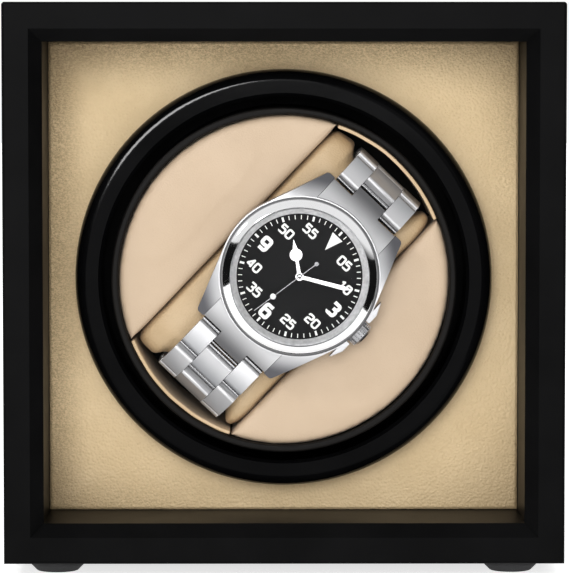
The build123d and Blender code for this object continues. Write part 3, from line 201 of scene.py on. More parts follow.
def vectorMath(tree, operation, first, second=(0, 0, 0)):
    node = addNode(tree, "ShaderNodeVectorMath", operation=operation)
    feed(tree, node.inputs[0], first)
    feed(tree, node.inputs[1], second)
    return node.outputs["Value" if operation in ("LENGTH", "DOT_PRODUCT") else "Vector"]


def rangeNode(tree, value, start=0.0, end=1.0, low=0.0, high=1.0, smooth=False):
    node = addNode(tree, "ShaderNodeMapRange", interpolation_type="SMOOTHSTEP" if smooth else "LINEAR")
    given = {"Value": value, "From Min": start, "From Max": end, "To Min": low, "To Max": high}
    for socketName, each in given.items():
        feed(tree, node.inputs[socketName], each)
    return node.outputs["Result"]


def colourMix(tree, factor, first, second, blend="MIX"):
    node = addNode(tree, "ShaderNodeMix", data_type="RGBA", blend_type=blend)
    for place, value in ((0, factor), (6, first), (7, second)):  # its factor and its two colours
        feed(tree, node.inputs[place], value)
    return node.outputs[2]


def newGroup(name, inputs, outputs):
    group = bpy.data.node_groups.new(name, "ShaderNodeTree")
    for direction, sockets in (("INPUT", inputs), ("OUTPUT", outputs)):
        for socketName, kind in sockets.items():
            group.interface.new_socket(name=socketName, in_out=direction, socket_type="NodeSocket" + kind)
    return group, group.nodes.new("NodeGroupInput").outputs, group.nodes.new("NodeGroupOutput").inputs


def hideGrain():  # pebbles of pressed leather, short wavy creases where it is pulled tight at the edges, and a mask of the hollows between the creases for painted shade
    inputs = {"Vector": "Vector", "Scale": "Float", "Crease": "Float", "Start": "Float", "Full": "Float"}
    group, given, result = newGroup("hideGrain", inputs, {"Height": "Float", "Folds": "Float"})
    vector = given["Vector"]
    pebble = addNode(group, "ShaderNodeTexVoronoi", feature="SMOOTH_F1", Smoothness=0.6,
                     Vector=vector, Scale=given["Scale"])
    stretched = vectorMath(group, "MULTIPLY", vector, (0.6, 1, 1))
    creaseScale = mathNode(group, "MULTIPLY", given["Scale"], 2.1)
    crease = addNode(group, "ShaderNodeTexNoise", Detail=1.0, Roughness=0.5, Distortion=0.8,
                     Vector=stretched, Scale=creaseScale)
    fold = rangeNode(group, crease.outputs["Fac"], start=0.40, end=0.58, smooth=True)
    apart = addNode(group, "ShaderNodeSeparateXYZ", Vector=vector)
    sides = [mathNode(group, "ABSOLUTE", apart.outputs[axis]) for axis in "XY"]
    near = rangeNode(group, mathNode(group, "MAXIMUM", *sides), given["Start"], given["Full"], smooth=True)
    upperLeft = vectorMath(group, "DOT_PRODUCT", vector, (-1, 1, 0))  # most of the pull is towards there
    lean = rangeNode(group, upperLeft, start=-0.09, end=0.05, smooth=True)
    tight = mathNode(group, "MULTIPLY", near, lean)
    folds = mathNode(group, "MULTIPLY", fold, tight)
    level = mathNode(group, "MULTIPLY", folds, given["Crease"])
    feed(group, result["Height"], mathNode(group, "SUBTRACT", level, pebble.outputs["Distance"]))
    feed(group, result["Folds"], mathNode(group, "SUBTRACT", tight, folds))  # the hollows between them, where painted shade goes
    return group


def toneShift():  # slow patches of a darker and a lighter tone
    inputs = {"Vector": "Vector", "Colour": "Color", "Shade": "Color", "Scale": "Float", "Amount": "Float"}
    group, given, result = newGroup("toneShift", inputs, {"Colour": "Color", "Mask": "Float"})
    patches = addNode(group, "ShaderNodeTexNoise", Detail=3.0, Roughness=0.55,
                      Vector=given["Vector"], Scale=given["Scale"])
    spread = rangeNode(group, patches.outputs["Fac"], start=0.3, end=0.7)
    amount = mathNode(group, "MULTIPLY", spread, given["Amount"])
    feed(group, result["Colour"], colourMix(group, amount, given["Colour"], given["Shade"]))
    feed(group, result["Mask"], spread)
    return group


def brushLines():  # fine straight scratches along the drawing's y
    inputs = {"Vector": "Vector", "Scale": "Float", "Length": "Float"}
    group, given, result = newGroup("brushLines", inputs, {"Height": "Float", "Streaks": "Float"})
    stretch = addNode(group, "ShaderNodeCombineXYZ", X=1.0, Y=given["Length"], Z=given["Length"])
    scaled = vectorMath(group, "MULTIPLY", given["Vector"], stretch.outputs[0])
    scratches = addNode(group, "ShaderNodeTexNoise", Detail=5.0, Roughness=0.7,
                        Vector=scaled, Scale=given["Scale"])
    feed(group, result["Height"], scratches.outputs["Fac"])
    feed(group, result["Streaks"], rangeNode(group, scratches.outputs["Fac"], start=0.3, end=0.7))
    return group


def fineTexture():  # the even pitting of moulded plastic, paint and lacquer
    inputs = {"Vector": "Vector", "Scale": "Float"}
    group, given, result = newGroup("fineTexture", inputs, {"Height": "Float"})
    pits = addNode(group, "ShaderNodeTexNoise", Detail=6.0, Roughness=0.65,
                   Vector=given["Vector"], Scale=given["Scale"])
    feed(group, result["Height"], pits.outputs["Fac"])
    return group


groups = {"hide": hideGrain(), "tone": toneShift(), "brush": brushLines(), "fine": fineTexture()}
brushLength = 0.02

# what the brushed links share, and what the polished pieces share
brushed = {"rough": (0.28, 0.34), "texture": ("brush", 8000, 0.0000022)}
polished = {"colour": (0.90, 0.90, 0.905), "shade": (0.87, 0.87, 0.875), "metal": 1.0,
            "rough": (0.05, 0.08), "texture": ("fine", 2000, 0.000001)}

# colour, shade: the two tones; rough: from and to; texture: which surface, its scale, its depth in metres
# lay: whose drawing it follows; then painted shade: a darker colour that comes in with the distance from the
# centre, along the drawing's y, or along a link; tight: where leather starts to crease and is full of
# creases, then the tint of painted shade in the hollows between the creases
finishes = {
    "black_lacquer": {"lay": "case", "colour": (0.0022, 0.0022, 0.0023), "shade": (0.0036, 0.0036, 0.0038),
                      "rough": (0.37, 0.40), "specular": 0.03, "texture": ("fine", 900, 0.00002)},
    "beige_leather": {"lay": "case", "colour": (0.78, 0.585, 0.335), "shade": (0.72, 0.535, 0.30),
                      "rough": (0.52, 0.66), "texture": ("hide", 1500, 0.00022), "sheen": 0.06,
                      # the last tint here is painted shade in the hollows between the creases
                      "crease": 0.4, "tight": (0.049, 0.061), "hollow": (0.67, 0.65, 0.61),
                      # painted shade: the leather darkens towards the corners, where the box walls shade it
                      "paintedShade": {"read": "radius", "from": 0.064, "to": 0.094, "colour": (0.38, 0.27, 0.14)}},
    "pad_cover": {"colour": (0.530, 0.400, 0.276), "shade": (0.500, 0.375, 0.257),
                  "rough": (0.5, 0.6), "texture": ("hide", 2600, 0.00004), "sheen": 0.08},
    "cushion_cover": {"colour": (0.50, 0.365, 0.215), "shade": (0.44, 0.31, 0.17),
                      "rough": (0.5, 0.62), "texture": ("hide", 2200, 0.00008), "sheen": 0.06},
    "liner_cover": {"colour": (0.60, 0.44, 0.27), "shade": (0.52, 0.37, 0.21),
                    "rough": (0.5, 0.62), "texture": ("hide", 2200, 0.00008), "sheen": 0.06},
    "bare_board": {"colour": (0.32, 0.21, 0.12), "shade": (0.24, 0.155, 0.085),
                   "rough": (0.75, 0.9), "texture": ("fine", 1200, 0.00010)},
    "black_trim": {"lay": "case", "colour": (0.0016, 0.0016, 0.0018), "shade": (0.0028, 0.0028, 0.0031),
                   "rough": (0.10, 0.14), "specular": 0.032, "texture": ("fine", 700, 0.00001)},
    "drum_grey": {"colour": (0.0050, 0.0045, 0.0042), "shade": (0.0080, 0.0072, 0.0066),
                  "rough": (0.38, 0.5), "specular": 0.08, "texture": ("fine", 1500, 0.00003)},
    "rear_black": {"lay": "case", "colour": (0.009, 0.009, 0.009), "shade": (0.014, 0.014, 0.014),
                   "rough": (0.5, 0.65), "texture": ("fine", 1800, 0.00008)},
    "foot_rubber": {"colour": (0.024, 0.024, 0.025), "shade": (0.034, 0.034, 0.036),
                    "rough": (0.6, 0.78), "texture": ("fine", 2200, 0.00006)},
    "screw_zinc": {"colour": (0.62, 0.62, 0.60), "shade": (0.50, 0.50, 0.49), "metal": 1.0,
                   "rough": (0.24, 0.4), "texture": ("fine", 2500, 0.00002)},
    "plate_steel": {"colour": (0.007, 0.007, 0.0075), "shade": (0.005, 0.005, 0.0055),
                    "rough": (0.5, 0.65), "specular": 0.1, "texture": ("fine", 1200, 0.00004)},
    "brass": {"colour": (0.78, 0.56, 0.24), "shade": (0.66, 0.45, 0.18), "metal": 1.0,
              "rough": (0.22, 0.36), "texture": ("brush", 3000, 0.00001)},
    "gear_white": {"colour": (0.78, 0.76, 0.70), "shade": (0.70, 0.68, 0.61),
                   "rough": (0.38, 0.5), "texture": ("fine", 1500, 0.00002)},
    "bronze_bush": {"colour": (0.52, 0.33, 0.16), "shade": (0.42, 0.26, 0.12), "metal": 1.0,
                    "rough": (0.35, 0.5), "texture": ("fine", 3200, 0.00003)},
    "steel": {"colour": (0.42, 0.42, 0.43), "shade": (0.34, 0.34, 0.35), "metal": 1.0,
              "rough": (0.2, 0.34), "texture": ("brush", 3000, 0.00001)},
    "motor_can": {"colour": (0.70, 0.70, 0.71), "shade": (0.62, 0.62, 0.63), "metal": 1.0,
                  "rough": (0.26, 0.4), "texture": ("brush", 2600, 0.00001)},
    "board_green": {"colour": (0.012, 0.11, 0.035), "shade": (0.02, 0.15, 0.05),
                    "rough": (0.3, 0.45), "texture": ("fine", 1800, 0.00002)},
    "component_black": {"colour": (0.018, 0.018, 0.018), "shade": (0.03, 0.03, 0.03),
                        "rough": (0.35, 0.5), "texture": ("fine", 2400, 0.00003)},
    "wire_red": {"colour": (0.46, 0.015, 0.012), "shade": (0.36, 0.010, 0.009),
                 "rough": (0.36, 0.5), "texture": ("fine", 2600, 0.00001)},
    "control_black": {"colour": (0.010, 0.010, 0.010), "shade": (0.016, 0.016, 0.016),
                      "rough": (0.3, 0.45), "texture": ("fine", 2000, 0.00004)},
    "watch_steel": {"colour": (0.62, 0.62, 0.63), "shade": (0.52, 0.52, 0.53), "metal": 1.0,
                    "rough": (0.24, 0.32), "texture": ("brush", 7000, 0.0000025)},
    # painted shade: the lugs darken towards their tips
    "lugSteel": {**brushed, "lay": "watch", "colour": (0.58, 0.58, 0.59), "shade": (0.49, 0.49, 0.50),
                 "metal": 0.7,
                 "paintedShade": {"read": "radius", "from": 0.0200, "to": 0.0256, "colour": (0.10, 0.10, 0.11)}},
    # painted shade: the end links darken towards their outer ends
    "endLinkSteel": {**brushed, "lay": "watch", "colour": (0.64, 0.64, 0.65), "shade": (0.54, 0.54, 0.55),
                     "metal": 0.7,
                     "paintedShade": {"read": "reach", "from": 0.019, "to": 0.0265, "colour": (0.12, 0.12, 0.125)}},
    # painted shade: each link, outer and centre, darkens towards its end away from the watch
    "linkSteel": {**brushed, "colour": (0.60, 0.60, 0.61), "shade": (0.52, 0.52, 0.53), "metal": 0.6,
                  "paintedShade": {"read": "away", "from": 0.2, "to": 1.1, "colour": (0.24, 0.245, 0.255),
                           "metal": 0.35}},
    "centreSteel": {**brushed, "colour": (0.54, 0.54, 0.55), "shade": (0.46, 0.46, 0.47), "metal": 0.6,
                    "paintedShade": {"read": "away", "from": 0.1, "to": 1.1, "colour": (0.17, 0.175, 0.185),
                             "metal": 0.2}},
    "satinSilver": {"colour": (0.82, 0.82, 0.83), "shade": (0.60, 0.60, 0.61), "metal": 0.35, "patches": 900,
                    "rough": (0.28, 0.4), "texture": ("brush", 4200, 0.000006)},
    "watch_polish": polished,
    # painted shade: a thin dark satin line round the bezel's foot, where it meets the case
    "bezelPolish": {**polished, "lay": "watch",
                    "paintedShade": {"read": "radius", "from": 0.0195, "to": 0.0199, "colour": (0.16, 0.16, 0.165),
                             "metal": 0.1}},
    "dial_black": {"colour": (0.0165, 0.0165, 0.0170), "shade": (0.0190, 0.0190, 0.0195),
                   "rough": (0.5, 0.62), "specular": 0.01, "texture": ("fine", 3000, 0.0000015)},
    "hand_white": {"colour": (0.90, 0.90, 0.88), "shade": (0.84, 0.84, 0.81),
                   "rough": (0.4, 0.55), "texture": ("fine", 3000, 0.000002)},
}
materials = {}


def paintedShadeColour(tree, look, flat, colour):  # painted shade: a darker second colour that comes in with the distance
    paintedShade = look["paintedShade"]
    if paintedShade["read"] == "away":
        far = addNode(tree, "ShaderNodeAttribute", attribute_name="away").outputs["Fac"]
    else:
        kept = vectorMath(tree, "MULTIPLY", flat, (0 if paintedShade["read"] == "reach" else 1, 1, 0))
        far = vectorMath(tree, "LENGTH", kept)
    share = rangeNode(tree, far, paintedShade["from"], paintedShade["to"], smooth=True)
    if "metal" in paintedShade:  # the painted shade turns the metal to satin as well
        satin = rangeNode(tree, share, low=look["metal"], high=paintedShade["metal"])
        feed(tree, tree.nodes["Principled BSDF"].inputs["Metallic"], satin)
    return colourMix(tree, share, colour, (*paintedShade["colour"], 1))


def makeFinish(name, look):
    material = bpy.data.materials.new(name)
    material.use_nodes = True
    tree = material.node_tree
    shader = tree.nodes["Principled BSDF"].inputs
    shader["Metallic"].default_value = look.get("metal", 0.0)
    shader["Specular IOR Level"].default_value = look.get("specular", 0.5)
    shader["Sheen Weight"].default_value = look.get("sheen", 0.0)
    shader["Sheen Roughness"].default_value = 0.4
    lay = {"case": casePlace, "slot": slotPlace, "watch": watchPlace}[look.get("lay", "slot")].inverted()
    place = addNode(tree, "ShaderNodeTexCoord")
    turn = addNode(tree, "ShaderNodeMapping", Vector=place.outputs["Object"],
                   Rotation=lay.to_euler("XYZ"), Location=lay.translation)
    flat = turn.outputs["Vector"]
    tone = addNode(tree, "ShaderNodeGroup", node_tree=groups["tone"], Vector=flat, Amount=1.0,
                   Colour=(*look["colour"], 1), Shade=(*look["shade"], 1), Scale=look.get("patches", 60.0))
    kind, scale, depth = look["texture"]
    surface = addNode(tree, "ShaderNodeGroup", node_tree=groups[kind], Vector=flat, Scale=scale)
    colour = tone.outputs["Colour"]
    spread = tone.outputs["Mask"]
    # painted shade, on the finishes that have it
    if "paintedShade" in look:
        colour = paintedShadeColour(tree, look, flat, colour)
    if kind == "brush":
        surface.inputs["Length"].default_value = brushLength
        spread = surface.outputs["Streaks"]
    if kind == "hide":
        start, full = look.get("tight", (1, 2))  # a metre off, so nowhere, on a piece without creases
        surface.inputs["Crease"].default_value = look.get("crease", 0.0)
        surface.inputs["Start"].default_value = start
        surface.inputs["Full"].default_value = full
        hollow = (*look.get("hollow", (1, 1, 1)), 1)
        # painted shade: the leather is darkened in the hollows between its creases
        colour = colourMix(tree, surface.outputs["Folds"], colour, hollow, "MULTIPLY")
    feed(tree, shader["Base Color"], colour)
    low, high = look["rough"]
    feed(tree, shader["Roughness"], rangeNode(tree, spread, low=low, high=high))
    bump = addNode(tree, "ShaderNodeBump", Distance=depth, Height=surface.outputs["Height"])
    feed(tree, shader["Normal"], bump.outputs["Normal"])
    materials[name] = material
    return material


def makeCrystal():
    material = bpy.data.materials.new("crystal")
    material.use_nodes = True
    shader = material.node_tree.nodes["Principled BSDF"]
    shader.inputs["Base Color"].default_value = (1, 1, 1, 1)
    shader.inputs["Roughness"].default_value = 0.0
    shader.inputs["IOR"].default_value = 1.001  # an anti-glare layer hides the reflections
    shader.inputs["Transmission Weight"].default_value = 1.0
    materials["crystal"] = material


for slotName, look in finishes.items():
    makeFinish(slotName, look)
makeCrystal()
for part in frame["record"]["subparts"]:
    node = nodes[part["node"]]
    node.data.materials.clear()
    node.data.materials.append(materials[part["material_slot"]])
nodeFinishes = {
    "watch_case": "lugSteel", "watch_end_links": "endLinkSteel", "watch_inner_ring": "satinSilver",
    "watch_bezel": "bezelPolish", "watch_crown": "steel", "watch_hour_hand": "watch_polish",
    "watch_minute_hand": "watch_polish", "watch_second_hand": "steel",
}
for node, finish in nodeFinishes.items():
    nodes[node].data.materials[0] = materials[finish]
nodes["watch_crystal"].visible_shadow = False  # light goes straight through it to the dial
print("materials are on the nodes")

# camera, floor and lights
view = {"side": -5.9, "height": 138.9, "distance": 947.1,  # in mm
        "down": 3.94, "turn": 0.36, "lens": 236.8, "clipEnd": 20}
paper = {"rough": (0.8, 0.9), "texture": ("fine", 400, 0.00005)}
studio = {
    "floorSize": 7.0,
    "floorPaper": {**paper, "colour": (0.88, 0.88, 0.88), "shade": (0.86, 0.86, 0.86), "specular": 0.2},
    "floorGlow": (0.40, 0.72),  # as the box sees the floor, and as the camera sees it
    # the tent's brightness: low in a dark band round its foot, high above it
    "sky": {"start": 0.08, "end": 0.30, "low": 0.03, "high": 0.9},
    # place, width, height, power, direction of the width
    "lights": {
        "key": ((-0.26, -1.75, 0.55), 0.85, 0.85, 13, (1, 0, 0)),
        "side": ((-1.2, -0.75, 1.0), 0.25, 0.25, 5, (1, 0, 0)),
        "front": ((0.15, -2.2, 0.28), 0.5, 0.4, 3, (1, 0, 0)),
        "glint": ((-0.58, -1.29, 0.81), 0.8, 0.7, 260, (0.79, 0, 0.61)),
    },
    "glossOnly": {"glint": "bezel_ring"},  # a light that lies only on this node, as a highlight
    # black boards that only reflections show: side, where the board starts on the floor, height
    "cards": {"leftCard": (-0.45, -0.36, 0.28), "rightCard": (0.45, 0.13, 0.15)},
    "cardSpan": (-1.1, -0.10),
    "cardLift": 0.002,
    "cardPaper": {**paper, "colour": (0.004, 0.004, 0.004), "shade": (0.006, 0.006, 0.006), "specular": 0.0},
}


def setCamera():
    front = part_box("shell_top")[0].y
    place = (view["side"] * mm, front - view["distance"] * mm, view["height"] * mm)
    turn = (math.radians(90 - view["down"]), 0, math.radians(-view["turn"]))
    bpy.ops.object.camera_add(location=place, rotation=turn)
    camera = bpy.context.active_object
    camera.data.lens = view["lens"]
    camera.data.clip_end = view["clipEnd"]
    bpy.context.scene.camera = camera


def makeFloor():
    bpy.ops.mesh.primitive_plane_add(size=studio["floorSize"])
    floor = newPiece("floor")
    sheet = makeFinish("floorPaper", studio["floorPaper"])
    tree = sheet.node_tree
    shader = tree.nodes["Principled BSDF"].inputs
    shader["Emission Color"].default_value = (1, 1, 1, 1)
    seen = addNode(tree, "ShaderNodeLightPath")
    low, high = studio["floorGlow"]
    glow = rangeNode(tree, seen.outputs["Is Camera Ray"], low=low, high=high)
    feed(tree, shader["Emission Strength"], glow)
    floor.data.materials.append(sheet)


def makeCard(name, side, start, height):
    bpy.ops.mesh.primitive_grid_add(x_subdivisions=2, y_subdivisions=1, size=2)
    card = newPiece(name)
    low = studio["cardLift"]
    profile = {-1: (start, low), 0: (side, low), 1: (side, height)}
    near, far = studio["cardSpan"]
    for vertex in card.data.vertices:
        x, z = profile[round(vertex.co.x)]
        vertex.co = (x, near if vertex.co.y < 0 else far, z)
    card.data.materials.append(makeFinish(name, studio["cardPaper"]))
    card.visible_camera = False
    card.visible_diffuse = False
    card.visible_shadow = False
    card.visible_transmission = False


def makeLight(name, place, width, height, power, along):
    back = (Vector(place) - drumAxis).normalized()
    up = back.cross(Vector(along)).normalized()
    aim = Matrix((up.cross(back), up, back)).transposed().to_euler()
    bpy.ops.object.light_add(type="AREA", location=place, rotation=aim)
    light = bpy.context.active_object
    light.name = name
    light.data.shape = "RECTANGLE"
    light.data.size = width
    light.data.size_y = height
    light.data.energy = power
    light.visible_transmission = False
    if name in studio["glossOnly"]:
        light.visible_diffuse = False
        seenBy = bpy.data.collections.new(name + "SeenBy")
        seenBy.objects.link(nodes[studio["glossOnly"][name]])
        light.light_linking.receiver_collection = seenBy


def makeTent():  # white to the camera, and a soft sky to everything else
    world = bpy.data.worlds.new("tent")
    world.use_nodes = True
    tree = world.node_tree
    sky = tree.nodes["Background"].inputs
    sky["Color"].default_value = (1, 1, 1, 1)
    place = addNode(tree, "ShaderNodeTexCoord")
    split = addNode(tree, "ShaderNodeSeparateXYZ", Vector=place.outputs["Generated"])
    band = rangeNode(tree, split.outputs["Z"], smooth=True, **studio["sky"])
    seen = addNode(tree, "ShaderNodeLightPath")
    strength = addNode(tree, "ShaderNodeMix", Factor=seen.outputs["Is Camera Ray"], A=band, B=1.0)
    feed(tree, sky["Strength"], strength.outputs["Result"])
    bpy.context.scene.world = world
    world.cycles_visibility.transmission = False


setCamera()
makeFloor()
for name, (side, start, height) in studio["cards"].items():
    makeCard(name, side, start, height)
for name, (place, width, height, power, along) in studio["lights"].items():
    makeLight(name, place, width, height, power, along)
makeTent()
bpy.context.scene.view_settings.view_transform = "Standard"
print("camera, floor and lights are set")

# leather stretched over the front board
panel = {
    "steps": 640, "rings": 72,
    "edge": 0.014, "calm": 0.15,  # how far in the waves are strong, and what is left of them beyond
    "wave": 0.00010, "waveSize": 0.0075, "waveStretch": 0.45,
    "ripple": 0.45, "rippleSize": 0.35, "rippleStretch": 0.5,  # shares of the wave
    "fold": 0.0006, "foldWidth": 0.0008,  # turns back round the board's edge
    "clear": 0.0003,
}


def makePanel():
    corners = cornersOf("front_panel_leather", casePlace)
    hole = min(radiusOf(point) for point in corners)
    half = max(point.x for point in corners)
    top, bottom = topOf("front_panel_leather"), bottomOf("front_panel_leather")
    bpy.ops.mesh.primitive_grid_add(x_subdivisions=panel["steps"], y_subdivisions=panel["rings"], size=2)
    piece = newPiece("panelLeather")
    for vertex in piece.data.vertices:  # the strip is wrapped round the hole and drawn out to a square
        angle = math.pi * vertex.co.x
        share = (vertex.co.y + 1) / 2
        reach = half / max(abs(math.cos(angle)), abs(math.sin(angle)))
        radius = hole + (reach - hole) * share
        x, y = radius * math.cos(angle), radius * math.sin(angle)
        inset = half - max(abs(x), abs(y))
        near = 1 - smoothStep(inset, 0, panel["edge"])
        wave = noise.noise(Vector((x * panel["waveStretch"], y, 0)) / panel["waveSize"])
        rippleAt = Vector((x * panel["rippleStretch"], y, 3))
        ripple = noise.noise(rippleAt / (panel["waveSize"] * panel["rippleSize"]))
        strength = panel["calm"] + (1 - panel["calm"]) * near
        drop = panel["wave"] * (wave + panel["ripple"] * ripple) * strength + panel["wave"]
        fold = panel["fold"] * (1 - smoothStep(inset, 0, panel["foldWidth"])) ** 2
        vertex.co = (x, y, top - drop - fold)
    mergeAll(piece)
    if piece.data.polygons[0].normal.z < 0:
        piece.data.flip_normals()
    addModifier(piece, "SOLIDIFY", thickness=top - bottom - panel["clear"], offset=-1)
    putInPlace(piece, casePlace, "case", "beige_leather", 60)
    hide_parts("front_panel_leather")


makePanel()
print("panel leather is on")

# stuffed pieces: the side pads and the cushion, blown up a little inside their covers
stuffing = {"grow": 10, "voxel": 0.0011, "pull": 0.0003, "pressure": 4.0, "frames": 20, "cap": 0.0008,
            "smooth": 0.5, "smoothTimes": 6}


def puff(piece):  # a cloth simulation at ten times the size, with the move of each point capped
    piece.data.transform(Matrix.Scale(stuffing["grow"], 4))
    cloth = piece.modifiers.new("cloth", "CLOTH")
    cloth.settings.use_pressure = True
    cloth.settings.uniform_pressure_force = stuffing["pressure"]
    cloth.settings.effector_weights.gravity = 0
    scene = bpy.context.scene
    for number in range(1, stuffing["frames"] + 1):
        scene.frame_set(number)
    showOnly(piece)
    bpy.ops.object.modifier_apply(modifier=cloth.name)
    scene.frame_set(1)
    piece.data.transform(Matrix.Scale(1 / stuffing["grow"], 4))


def stuffedCopy(node, name, body, slotName, hold):
    piece = copyOfNode(node, name, slotPlace)
    addModifier(piece, "REMESH", mode="VOXEL", voxel_size=stuffing["voxel"])
    outside = [vertex.co.copy() for vertex in piece.data.vertices]
    normals = [vertex.normal.copy() for vertex in piece.data.vertices]
    for vertex, old, normal in zip(piece.data.vertices, outside, normals):
        vertex.co = old - normal * stuffing["pull"]
    before = [vertex.co.copy() for vertex in piece.data.vertices]
    puff(piece)
    for vertex, start, normal in zip(piece.data.vertices, before, normals):
        swell = min(max((vertex.co - start).dot(normal), 0), stuffing["cap"])
        vertex.co = start + normal * swell
    addModifier(piece, "SMOOTH", factor=stuffing["smooth"], iterations=stuffing["smoothTimes"])
    for vertex, old in zip(piece.data.vertices, outside):
        vertex.co = hold(vertex.co.copy(), old)
    subdivide(piece, 1)
    putInPlace(piece, slotPlace, body, slotName, 80)
    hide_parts(node)


def holdPad(side):
    chord = min(abs(point.x) for point in cornersOf("side_pad_" + side, slotPlace))
    rim = max(radiusOf(point) for point in cornersOf("side_pad_" + side, slotPlace))
    front = topOf("side_pad_" + side)

    def hold(point, old):
        sign = 1 if old.x > 0 else -1
        point.x = sign * max(abs(point.x), chord)
        radius = radiusOf(point)
        if radius > rim:
            point.x, point.y = point.x * rim / radius, point.y * rim / radius
        point.z = min(point.z, front)
        return point

    return hold


# the cushion swells beside the bracelet, clear of the watch, and its ends fill the slot
cushion = {"clear": 0.0004, "ramp": 0.002, "underCase": (0.025, 0.028), "swell": 0.0011, "core": 0.044,
           "flank": 0.00015, "longer": 0.085, "lengthen": (0.018, 0.034)}


def holdCushion():
    links = cornersOf("bracelet_outer_links", slotPlace)
    low, high = min(point.x for point in links), max(point.x for point in links)
    flank = max(point.x for point in cornersOf("cushion", slotPlace)) + cushion["flank"]
    rim = min(radiusOf(point) for point in cornersOf("slot_liners", slotPlace)) - cushion["clear"]
    centre = slotPlace.inverted() @ watchAxis

    def hold(point, old):
        left = smoothStep(low - cushion["clear"] - point.x, 0, cushion["ramp"])
        right = smoothStep(point.x - high - cushion["clear"], 0, cushion["ramp"])
        beside = max(left, right)
        fromWatch = math.hypot(point.x - centre.x, point.y - centre.y)
        underCase = 1 - smoothStep(fromWatch, *cushion["underCase"])
        room = cushion["swell"] * beside * (1 - underCase)
        outwards = point - old
        if outwards.length > room and outwards.dot(old - Vector((old.x, 0, cushion["core"]))) > 0:
            point = old + outwards * room / outwards.length
        point.x = min(max(point.x, -flank), flank)
        point.y *= 1 + cushion["longer"] * beside * smoothStep(abs(point.y), *cushion["lengthen"])
        radius = radiusOf(point)
        if radius > rim:
            point.y *= rim / radius
        return point

    return hold


stuffedCopy("side_pad_upper", "sidePadUpper", "drum", "pad_cover", holdPad("upper"))
stuffedCopy("side_pad_lower", "sidePadLower", "drum", "pad_cover", holdPad("lower"))
stuffedCopy("cushion", "watchCushion", "cushion_with_watch", "cushion_cover", holdCushion())
print("pads and cushion are stuffed")

# leather wrapped round the ends of the slot
liner = {"steps": 72, "rows": 64, "wrinkle": 0.00012, "wrinkleSize": 0.006, "wrinkleStretch": 0.5,
         "clear": 0.0003, "round": 0.00025, "roundPast": 50}


def makeLiners():
    corners = cornersOf("slot_liners", slotPlace)
    outer = max(radiusOf(point) for point in corners)
    inner = min(radiusOf(point) for point in corners)
    swing = math.asin(max(point.x for point in corners) / outer)
    top, bottom = topOf("slot_liners"), bottomOf("slot_liners")
    walls = []
    for around in (math.pi / 2, -math.pi / 2):
        bpy.ops.mesh.primitive_grid_add(x_subdivisions=liner["steps"], y_subdivisions=liner["rows"], size=2)
        wall = newPiece("linerWall")
        for vertex in wall.data.vertices:
            angle = around + swing * vertex.co.x
            height = (top + bottom) / 2 + (top - bottom) / 2 * vertex.co.y
            creaseAt = Vector((angle * outer, height * liner["wrinkleStretch"], around))
            crease = noise.noise(creaseAt / liner["wrinkleSize"])
            radius = inner + liner["wrinkle"] * (1 + crease)
            vertex.co = (radius * math.cos(angle), radius * math.sin(angle), height)
        side = wall.data.polygons[0]
        if side.normal.dot(side.center * Vector((1, 1, 0))) > 0:
            wall.data.flip_normals()
        addModifier(wall, "SOLIDIFY", thickness=outer - inner - liner["clear"], offset=-1)
        addModifier(wall, "BEVEL", width=liner["round"], segments=2, limit_method="ANGLE",
                    angle_limit=math.radians(liner["roundPast"]))
        walls.append(wall)
    piece = joinAll(walls, "slotLiners")
    putInPlace(piece, slotPlace, "drum", "liner_cover", 50)
    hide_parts("slot_liners")


makeLiners()
print("slot liners are in")

# bracelet links, and the knuckles that fill the gaps between them
knuckle = {
    "width": 0.86, "thick": 1.8, "sink": 0.32, "play": 0.1, "clear": 0.16,  # all in mm
    "round": 0.3, "roundShare": 0.4,
    "endZone": 0.4,  # how much of a link's end says where its knuckle lies
    "gaps": (0.3, 3.2), "wide": 1.5,  # gaps that get a bar, and from where they get two
    # beside an end link, a thin bar next to it and a wide one next to the first link
    "thin": 0.5, "thinAt": (0.25, 0.75), "wideShare": 0.45, "wideAt": (0.8, 0.3),
    "bandPlay": 0.05, "columnPlay": 0.7,
}


def loopDepth():  # how far forward the middle of the bracelet's loop lies
    return (topOf("cushion") + bottomOf("cushion")) / 2


def separateParts(node):
    copyOfNode(node, "whole", slotPlace)
    bpy.ops.object.select_all(action="DESELECT")
    bpy.data.objects["whole"].select_set(True)
    bpy.ops.mesh.separate(type="LOOSE")
    return list(bpy.context.selected_objects)


def looseParts(node):  # the corners of each separate solid of a node, in the slot's drawing, in mm
    parts = separateParts(node)
    points = [[vertex.co / mm for vertex in part.data.vertices] for part in parts]
    for part in parts:
        bpy.data.objects.remove(part)
    return points


def middle(points):
    return sum(points, Vector()) / len(points)


def makeLinks(node, name, finish):  # each link knows how far along it a point is, away from the watch, which sets the painted shade on it
    parts = separateParts(node)
    for part in parts:
        points = [vertex.co for vertex in part.data.vertices]
        centre = middle(points)
        offsets = [point - centre for point in points]
        spreadY = sum(offset.y * offset.y for offset in offsets)
        spreadZ = sum(offset.z * offset.z for offset in offsets)
        shared = sum(offset.y * offset.z for offset in offsets)
        lean = 0.5 * math.atan2(2 * shared, spreadY - spreadZ)
        run = Vector((0, math.cos(lean), math.sin(lean)))
        onwards = Vector((0, centre.z - loopDepth(), -centre.y)) * (1 if centre.y > 0 else -1)
        if run.dot(onwards) < 0:
            run = -run
        half = max(offset.dot(run) for offset in offsets)
        away = part.data.attributes.new("away", "FLOAT", "POINT")
        for value, offset in zip(away.data, offsets):
            value.value = 0.5 + 0.5 * offset.dot(run) / half
    piece = joinAll(parts, name)
    putInPlace(piece, slotPlace, "cushion_with_watch", "watch_steel", 30)
    piece.data.materials[0] = materials[finish]
    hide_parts(node)


def gapBetween(here, there):  # the way from one link to the next, and where the gap starts and ends on it
    first, second = middle(here), middle(there)
    run = Vector((0, second.y - first.y, second.z - first.z)).normalized()
    start = max((point - first).dot(run) for point in here)
    end = min((point - first).dot(run) for point in there)
    return first, run, start, end


